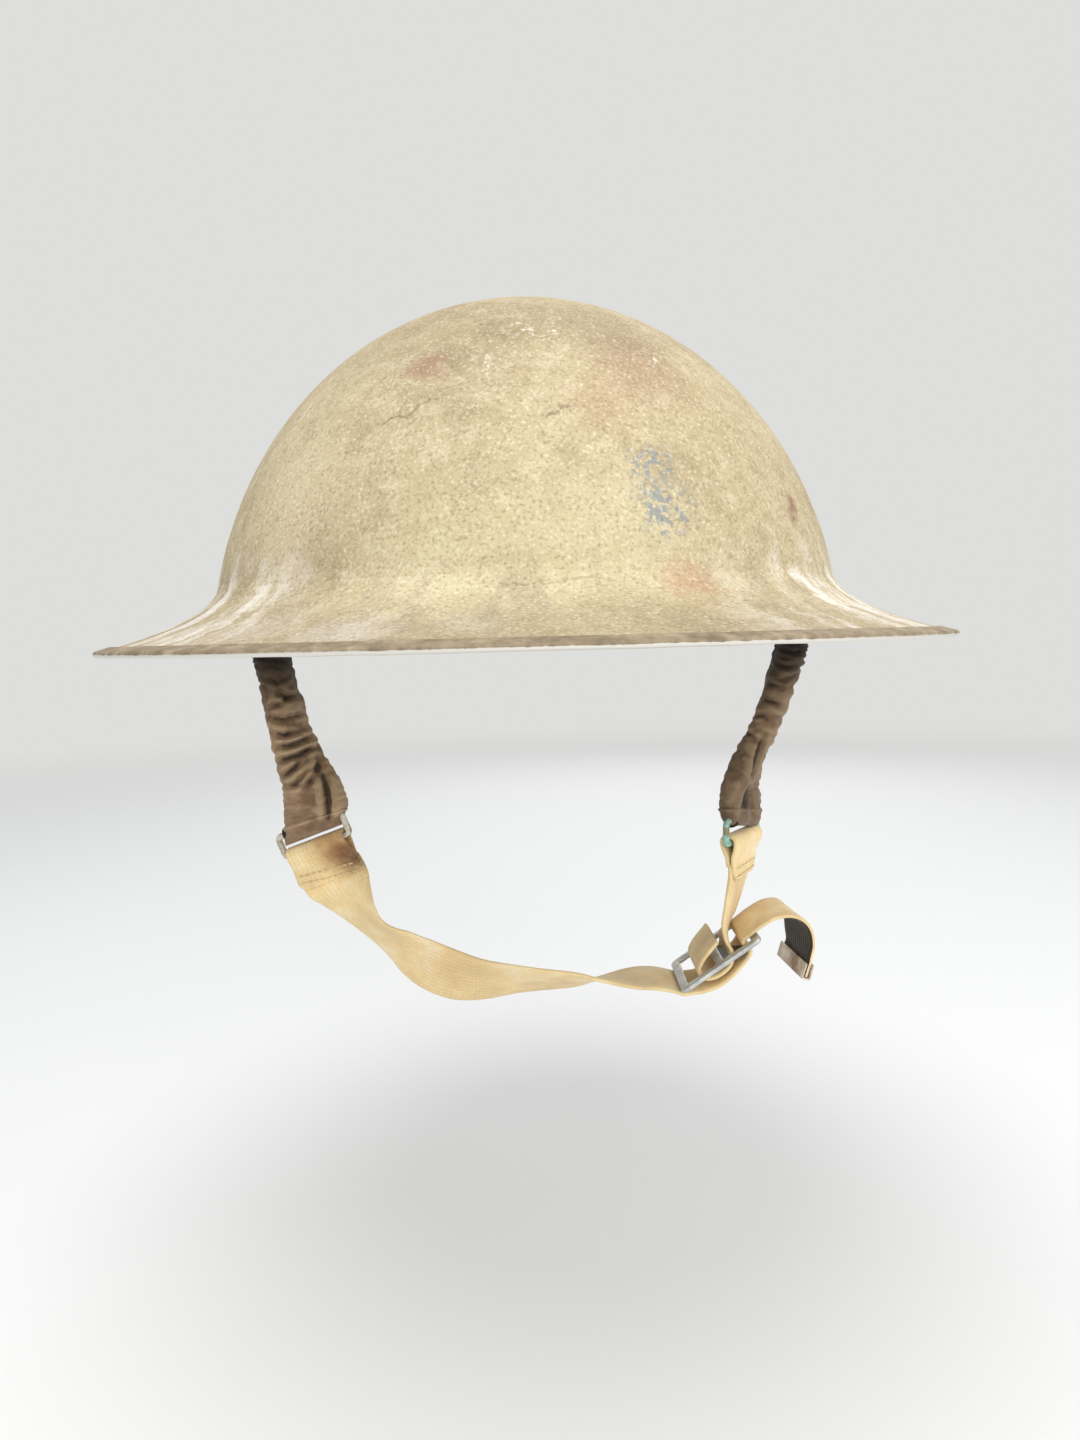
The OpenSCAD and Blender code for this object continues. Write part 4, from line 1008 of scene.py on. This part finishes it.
def to_line(x, z, line):
    """Distance from a point to a broken line in x and z, and how far along it that is, from 0 to 1."""
    best, along = 1e9, 0.0
    for i, ((ax, az), (bx, bz)) in enumerate(zip(line, line[1:])):
        ux, uz = bx - ax, bz - az
        t = max(0.0, min(1.0, ((x - ax) * ux + (z - az) * uz) / (ux * ux + uz * uz)))
        far = math.hypot(x - ax - t * ux, z - az - t * uz)
        if far < best:
            best, along = far, (i + t) / (len(line) - 1)
    return best, along


def clear_of_springs(p, centre, w, b):
    """Moves a point of the cloth out to where the spring behind it leaves it room."""
    across, out = (p - centre).dot(w), (p - centre).dot(b)
    room = SPRING_D / 2 + SPRING_ROOM
    for place in (-1, 1):
        middle = place * SPRING_OFF
        far = math.hypot(across - middle, out)
        if 0 < far < room:
            return p + (room - far) * ((across - middle) * w + out * b) / far
    return p


def gathered(base, turn, f, front, seed):
    """How far the gathers push a point out: they ring the sleeve on a slant, and die out toward the ring."""
    wander = noise.noise(Vector((base.x * 0.09, base.y * 0.09, base.z * 0.16 + seed)))
    phase = f * GATHERS + 0.5 * math.sin(turn + seed) + 1.2 * wander
    valley = 1 - abs(math.sin(math.pi * phase)) ** 0.55
    deep = mix(1.3, 0.3, rise(0.6, 0.9, f)) * mix(1.0, 0.6, front * rise(0.25, 0.4, f))
    small = noise.noise(Vector((base.x * 0.2, base.y * 0.2, seed)))
    ripple = math.sin(f * RIPPLES + 4 * small + 1.5 * math.sin(turn))
    return 0.35 - deep * valley * (0.75 + 0.5 * wander) + mix(0.2, 0.05, rise(0.5, 0.9, f)) * ripple


def creased(base, front, creases, puffs):
    """How far the photographed creases and puffs push a point out."""
    push = 0.0
    for line, width, depth in creases if front > 0 else ():
        far, along = to_line(base.x, base.z, line)
        far /= width
        if far < 4:
            # Deepest at its middle, with the cloth swelling beside it
            depth_here = front * depth * (0.45 + 0.55 * math.sin(math.pi * along))
            push -= depth_here * (math.exp(-far * far) - 0.3 * math.exp(-((far - 2.1) ** 2)))
    for (x, z), reach, lift in puffs:
        far = math.hypot(base.x - x, base.z - z) / reach
        if far < 2.5:
            push += lift * math.exp(-far * far)
    return push


def hemmed(from_foot, k, seed):
    """How far the hem pushes a point out: a doubled edge, ruffled by its stitching, with a dip above it."""
    ruffle = 0.45 + 0.3 * noise.noise(Vector((k * 0.3, seed, 0)))
    return ruffle * math.exp(-((from_foot - 4.0) ** 2)) - 0.3 * math.exp(-(((from_foot - 6.2) / 0.9) ** 2))


def sleeve_rings(route, bar, shape, creases, puffs, seed):
    """Outer rings of a gathered sleeve, and how far each of their points is pushed out. shape is half
    the width at the springs and at the ring, half the thickness at the top and the foot, and the
    hem's slant."""
    narrow, broad, top_half, foot_half, slant = shape
    centres = spline(in_xz(route), SLEEVE_STEPS)
    # Past the ring's bar the cloth closes round it
    last, down = centres[-1], tangent(centres, len(centres) - 1)
    body = len(centres) - 1
    centres += [last + step * down for step, _ in CLOSING]
    rings, pushes = [], []
    for i, c in enumerate(centres):
        f = min(1.0, i / body)
        t = tangent(centres, i)
        w = sleeve_across(t, bar, f)
        b = unit(t.cross(w))
        wide = mix(narrow, broad, rise(0.55, 0.93, f))
        thick = mix(top_half, foot_half, rise(0.3, 0.9, f)) + 0.8 * (1 - rise(0, 0.1, f))
        if i > body:
            thick *= CLOSING[i - body - 1][1]
        ends = min(1.0, 14 * f, max(0.0, 14 * (1 - f)))
        slope = slant * rise(0.75, 1, f)
        ring, pushed = [], []
        for k in range(SLEEVE_SIDES):
            turn = 2 * math.pi * k / SLEEVE_SIDES
            x, y = (math.copysign(abs(side) ** SQUARENESS, side) for side in (math.cos(turn), math.sin(turn)))
            x *= wide
            # The cloth sinks a little between the springs
            y *= thick * (1 - 0.2 * rise(0.2, 0.6, f) * math.exp(-((x / 2.4) ** 2)))
            outward = unit(x / wide**2 * w + y / thick**2 * b)
            base = c + x * (w + slope * t) + y * b
            front = rise(0.15, -0.35, outward.y)
            push = ends * gathered(base, turn, f, front, seed)
            push += 0.3 * noise.noise(base * 0.4 + Vector((seed, 0, 0)))
            push += creased(base, front, creases, puffs) + hemmed((1 - f) * HEM_RUN, k, seed)
            if i > body:
                push *= 0.4
            p = base + push * outward
            ring.append(clear_of_springs(p, c, w, b) if CLEARED[0] < f < CLEARED[1] else p)
            pushed.append(push)
        rings.append(ring)
        pushes.append(pushed)
    return rings, pushes


def hanging(above, below, x, start, end):
    return above, below, (x * MM, 0, start * MM), (x * MM, 0, end * MM)


class HELMET_OT_sleeves(bpy.types.Operator):
    """Makes the two gathered cloth sleeves, each in two lengths that meet in a gather"""

    bl_idname = "helmet.sleeves"
    bl_label = "Gathered sleeves"

    def execute(self, context):
        for side, route, bar, shape, creases, puffs, seed in SLEEVES:
            outer, pushes = sleeve_rings(route, bar, shape, creases, puffs, seed)
            centres = [sum(ring, Vector()) / len(ring) for ring in outer]
            inner = [[p - CLOTH_T * unit(p - c) for p in ring] for ring, c in zip(outer, centres)]
            split = next(i for i, c in enumerate(centres) if c.z < SLEEVE_SPLIT)
            x = centres[0].x
            for part, first, last, joint in (
                ("top", 0, split, hanging("helmet", "strap_uppers", x, 6, -9)),
                ("foot", split, len(outer) - 1, hanging("strap_uppers", "chin_web", x, *STRETCH)),
            ):
                order = range(first, last + 1)
                back = [i for i in reversed(order) if i < len(outer) - FOOT_RINGS]
                rings = [outer[i] for i in order] + [inner[i] for i in back]
                # The inside faces take the deepest fold value, so the sleeve's inside is painted in shade
                fold = [v for i in order for v in pushes[i]] + [-1.0] * (len(back) * SLEEVE_SIDES)
                cloth = skin(f"{side}_sleeve_{part}", [rings], closed=True, fields={"fold": fold})
                dress(cloth, "sleeve", joint, [f"{side}_sleeve"])
        return {"FINISHED"}


class HELMET_OT_springs(bpy.types.Operator):
    """Makes the four close-wound coil springs inside the sleeves"""

    bl_idname = "helmet.springs"
    bl_label = "Coil springs"

    def execute(self, context):
        for side, route, bar, *_ in SLEEVES:
            centres = spline(in_xz(route), 20)
            joint = hanging("strap_uppers", "chin_web", centres[0].x, *STRETCH)
            for end, place in (("front", -1), ("rear", 1)):
                points = self.coil(centres, bar, place)
                coil = skin(f"{side}_{end}_coil", [round_tube(points, [SPRING_WIRE / 2] * len(points), 5)])
                dress(coil, "spring", joint, [f"{side}_{end}_spring"])
        return {"FINISHED"}

    def coil(self, centres, bar, place):
        """A helix beside the sleeve's centre line, which it follows from near the top to near the foot."""
        n = len(centres) - 1
        run = [0.0]
        for a, b in zip(centres, centres[1:]):
            run.append(run[-1] + (b - a).length)
        r = (SPRING_D - SPRING_WIRE) / 2
        points = []
        i, (s, stop) = 0, (run[int(n * share)] for share in COILED)
        while s < stop:
            while run[i + 1] < s:
                i += 1
            c = mix(centres[i], centres[i + 1], (s - run[i]) / (run[i + 1] - run[i]))
            t = tangent(centres, i)
            w = square_to(sleeve_across(t, bar, i / n), t)
            b = t.cross(w)
            turn = 2 * math.pi * s / SPRING_PITCH
            points.append(c + place * SPRING_OFF * w + r * (math.cos(turn) * w + math.sin(turn) * b))
            s += SPRING_PITCH / COIL_SIDES
        return points


class HELMET_OT_rings(bpy.types.Operator):
    """Finishes the wire rings and makes the cloth loops round the bails and rings"""

    bl_idname = "helmet.rings"
    bl_label = "Rings and cloth loops"

    def execute(self, context):
        paint_nodes("wire", "left_ring", "right_ring")
        for side in ("left", "right"):
            for place, body in (("upper", f"{side}_bail"), ("lower", "chin_web")):
                eased_copy(f"{side}_{place}_cloth_loop", f"{side}_{place}_loop", 0.3,
                           "loop", body)
        return {"FINISHED"}


def slide_point(p):
    c, s = math.cos(SLIDE_LEAN), math.sin(SLIDE_LEAN)
    return SLIDE_AT + Vector((p[0] * c - p[1] * s, 0, p[0] * s + p[1] * c))


def fold(bar_at, fall, bar, run_bar):
    """Stations of webbing folded round a ring's bar: the sewn flap, the turn and the main run."""
    out = fall.cross(bar)
    r = RING_WIRE / 2 + 0.3 + WEB_T / 2
    w = r + ROCK_ROOM
    places = [(FLAP, LAYER), (FLAP * 0.7, LAYER), (FLAP * 0.4, LAYER * 1.2), (2.6, w * 0.8), (0, w),
              (-r * 0.72, w * 0.8), (-r, w * 0.35), (-r, -w * 0.35), (-r * 0.72, -w * 0.8), (0, -w),
              (2.6, -w * 0.8), (FLAP * 0.4, -LAYER * 1.2), (FLAP * 0.7, -LAYER)]
    return [(bar_at + p * fall + q * out, unit(mix(bar, run_bar, max(0, p) / FLAP))) for p, q in places]


def station(row):
    return Vector((row[0], 0, row[1])), Vector(row[2:])


def web_tape(name, stations):
    """Webbing along stations of centre and width direction. Its flap has round corners."""
    centres, widths = (spline(list(places), 8) for places in zip(*stations))
    rings = tape_rings(centres, widths, WEB_W / 2, WEB_T / 2 - 0.03, FLAP_CORNER)
    return skin(name, [rings], width=2 * WEB_W)


def stitch_row(start, end, lift, count, thickness):
    """A row of stitches between two points, each a bead of thread, raised along lift at its middle."""
    tubes = []
    for j in range(count):
        a, b = mix(start, end, (j + 0.12) / count), mix(start, end, (j + 0.88) / count)
        points = [a, mix(a, b, 0.3) + lift * 0.25, mix(a, b, 0.7) + lift * 0.25, b]
        tubes.append(round_tube(points, [thickness * share for share in (0.25, 0.5, 0.5, 0.25)], 6))
    return tubes


# Both lengths of webbing: ring, fall, bar, width direction of the run, route, way through the slide and
# its facing, and the tail's route
WEBS = (
    ("long", LEFT_RING, LEFT_FALL, LEFT_BAR, unit(Vector((0.98, -0.02, 0.21))),
     LONG_ROUTE, LONG_IN_SLIDE, -1, TAIL_ROUTE),
    ("short", RIGHT_RING, RIGHT_FALL, RIGHT_BAR, Vector(SHORT_ROUTE[0][2:]),
     SHORT_ROUTE, SHORT_IN_SLIDE, 1, []),
)
# The folds' stitches: how far their two rows are from the flap's end, and from the selvedges
ROWS = (1.6, 4.6)
ROW_INSET = 1.6
ROW_STITCHES = 9


class HELMET_OT_webbing(bpy.types.Operator):
    """Makes the two lengths of webbing and the stitching of their folds"""

    bl_idname = "helmet.webbing"
    bl_label = "Webbing"

    def execute(self, context):
        thread = context.scene.helmet_sizes.thread / MM
        tubes = []
        for size, ring, fall, bar, run, route, in_slide, facing, tail in WEBS:
            at = ring + RING_H / 2 * fall
            stations = fold(at, fall, bar, run) + [station(row) for row in route]
            stations += [(slide_point(p), Vector((0, facing, 0))) for p in in_slide]
            stations += [station(row) for row in tail]
            web = web_tape(f"{size}_webbing", stations)
            dress(web, "web", "chin_web", [f"{size}_web"])
            out = fall.cross(bar)
            for down in (FLAP - row for row in ROWS):
                middle = at + down * fall + (LAYER + WEB_T / 2) * out
                half = (WEB_W / 2 - ROW_INSET) * unit(mix(bar, run, down / FLAP))
                tubes += stitch_row(middle - half, middle + half, out * thread, ROW_STITCHES, thread)
        seams = skin("fold_stitches", tubes)
        dress(seams, "thread", "chin_web")
        return {"FINISHED"}


class HELMET_OT_slide(bpy.types.Operator):
    """Makes the slide buckle and the strap's metal tip"""

    bl_idname = "helmet.slide"
    bl_label = "Slide and tip"

    def execute(self, context):
        eased_copy("pressed_slide", "slide_buckle", 0.55, "slide", "chin_web", segments=3)
        eased_copy("crimped_tip", "tail_tip", 0.25, "tip", "chin_web")
        return {"FINISHED"}


# The camera that took the photograph, in metres and radians
CAMERA_AT = (0.004469, -0.3835, 0.002688)
CAMERA_ROLL = math.radians(1.45)
CAMERA_PITCH = math.radians(4.64)
CAMERA_LENS = 26.0
# The floor in metres: its height, its reach, and where it fades
FLOOR_Z = -0.25
FLOOR_REACH = 4.0
FLOOR_FADE = (0.7, 2.6)
# Area lights in metres and watts: name, place, size, power
LIGHTS = (
    ("overhead", (-0.1, -0.4, 1.15), 0.9, 9.5),
    ("front_fill", (0.3, -1.45, 0.5), 1.1, 10.0),
    ("side_fill", (1.4, -0.6, 0.5), 1.0, 6.0),
    ("rear_fill", (0.3, 1.5, 0.7), 1.2, 6.0),
)


class HELMET_OT_stage(bpy.types.Operator):
    """Makes the pale floor, the soft lights and the camera"""

    bl_idname = "helmet.stage"
    bl_label = "Stage"

    def execute(self, context):
        self.floor()
        self.world()
        self.lights()
        self.camera()
        return {"FINISHED"}

    def floor(self):
        bpy.ops.object.select_all(action="DESELECT")
        bpy.ops.mesh.primitive_circle_add(vertices=96, radius=FLOOR_REACH, fill_type="NGON",
                                          location=(0, 0, FLOOR_Z))
        floor = bpy.context.object
        floor.name = "floor"
        finish = bpy.data.materials.new("matt_floor")
        tree = cleared(finish)
        place = add_node(tree, "TexCoord").outputs["Object"]
        far = add_node(tree, "VectorMath", {"operation": "LENGTH"}, [(0, place)])
        fade = band(far.outputs["Value"], *FLOOR_FADE)
        matt = add_node(tree, "BsdfDiffuse", {"Color": colour("#E4E4E2")})
        clear = add_node(tree, "BsdfTransparent")
        mixed_output(tree, "OutputMaterial", fade, matt, clear)
        floor.data.materials.append(finish)

    def world(self):
        world = bpy.data.worlds.new("pale_room")
        bpy.context.scene.world = world
        tree = cleared(world)
        rays = add_node(tree, "LightPath").outputs
        seen = maths("MAXIMUM", rays["Is Camera Ray"], rays["Is Glossy Ray"])
        seen = maths("MAXIMUM", seen, rays["Is Transmission Ray"])
        room = add_node(tree, "Background", {"Color": colour("#E6E8EC"), "Strength": 0.8})
        wall = add_node(tree, "Background", {"Color": colour("#DEDEDC"), "Strength": 1.0})
        mixed_output(tree, "OutputWorld", seen, room, wall)

    def lights(self):
        for name, place, size, power in LIGHTS:
            lamp = bpy.data.lights.new(name, "AREA")
            lamp.shape, lamp.size, lamp.energy = "DISK", size, power
            obj = add_object(name, lamp)
            obj.location = place
            obj.rotation_euler = (-Vector(place)).to_track_quat("-Z", "Y").to_euler()

    def camera(self):
        c, s = math.cos(CAMERA_ROLL), math.sin(CAMERA_ROLL)
        right = Vector((c, 0, -s))
        up = Vector((s * math.cos(CAMERA_PITCH), math.sin(CAMERA_PITCH), c * math.cos(CAMERA_PITCH)))
        back = right.cross(up)
        data = bpy.data.cameras.new("photo_camera")
        data.sensor_width, data.lens = 36.0, CAMERA_LENS
        data.clip_start, data.clip_end = 0.01, 50.0
        camera = add_object("photo_camera", data)
        turn = Matrix((right, up, back)).transposed().to_4x4()
        camera.matrix_world = Matrix.Translation(CAMERA_AT) @ turn
        bpy.context.scene.camera = camera


OPERATORS = (HELMET_OT_shell, HELMET_OT_fittings, HELMET_OT_liner, HELMET_OT_sleeves, HELMET_OT_springs,
             HELMET_OT_rings, HELMET_OT_webbing, HELMET_OT_slide, HELMET_OT_stage)


class HELMET_PT_panel(bpy.types.Panel):
    """Lists the helmet's operators and finishes"""

    bl_idname = "HELMET_PT_panel"
    bl_label = "Helmet"
    bl_space_type = "VIEW_3D"
    bl_region_type = "UI"
    bl_category = "Helmet"

    def draw(self, context):
        for group in (context.scene.helmet_finish, context.scene.helmet_sizes):
            for name in type(group).__annotations__:
                self.layout.prop(group, name)
        for operator in OPERATORS:
            self.layout.operator(operator.bl_idname)


CLASSES = (HelmetFinish, HelmetSizes, *OPERATORS, HELMET_PT_panel)


def register():
    for cls in CLASSES:
        bpy.utils.register_class(cls)
    bpy.types.Scene.helmet_finish = bpy.props.PointerProperty(type=HelmetFinish)
    bpy.types.Scene.helmet_sizes = bpy.props.PointerProperty(type=HelmetSizes)


def unregister():
    del bpy.types.Scene.helmet_sizes
    del bpy.types.Scene.helmet_finish
    for cls in reversed(CLASSES):
        bpy.utils.unregister_class(cls)


def main():
    register()
    scene = bpy.context.scene
    scene.view_settings.view_transform = "Standard"
    FINISHES.update(make_finishes(scene.helmet_finish, scene.helmet_sizes))
    bpy.ops.helmet.shell()
    bpy.ops.helmet.fittings()
    bpy.ops.helmet.liner()
    bpy.ops.helmet.sleeves()
    bpy.ops.helmet.springs()
    bpy.ops.helmet.rings()
    bpy.ops.helmet.webbing()
    bpy.ops.helmet.slide()
    bpy.ops.helmet.stage()


if __name__ == "__main__":
    main()
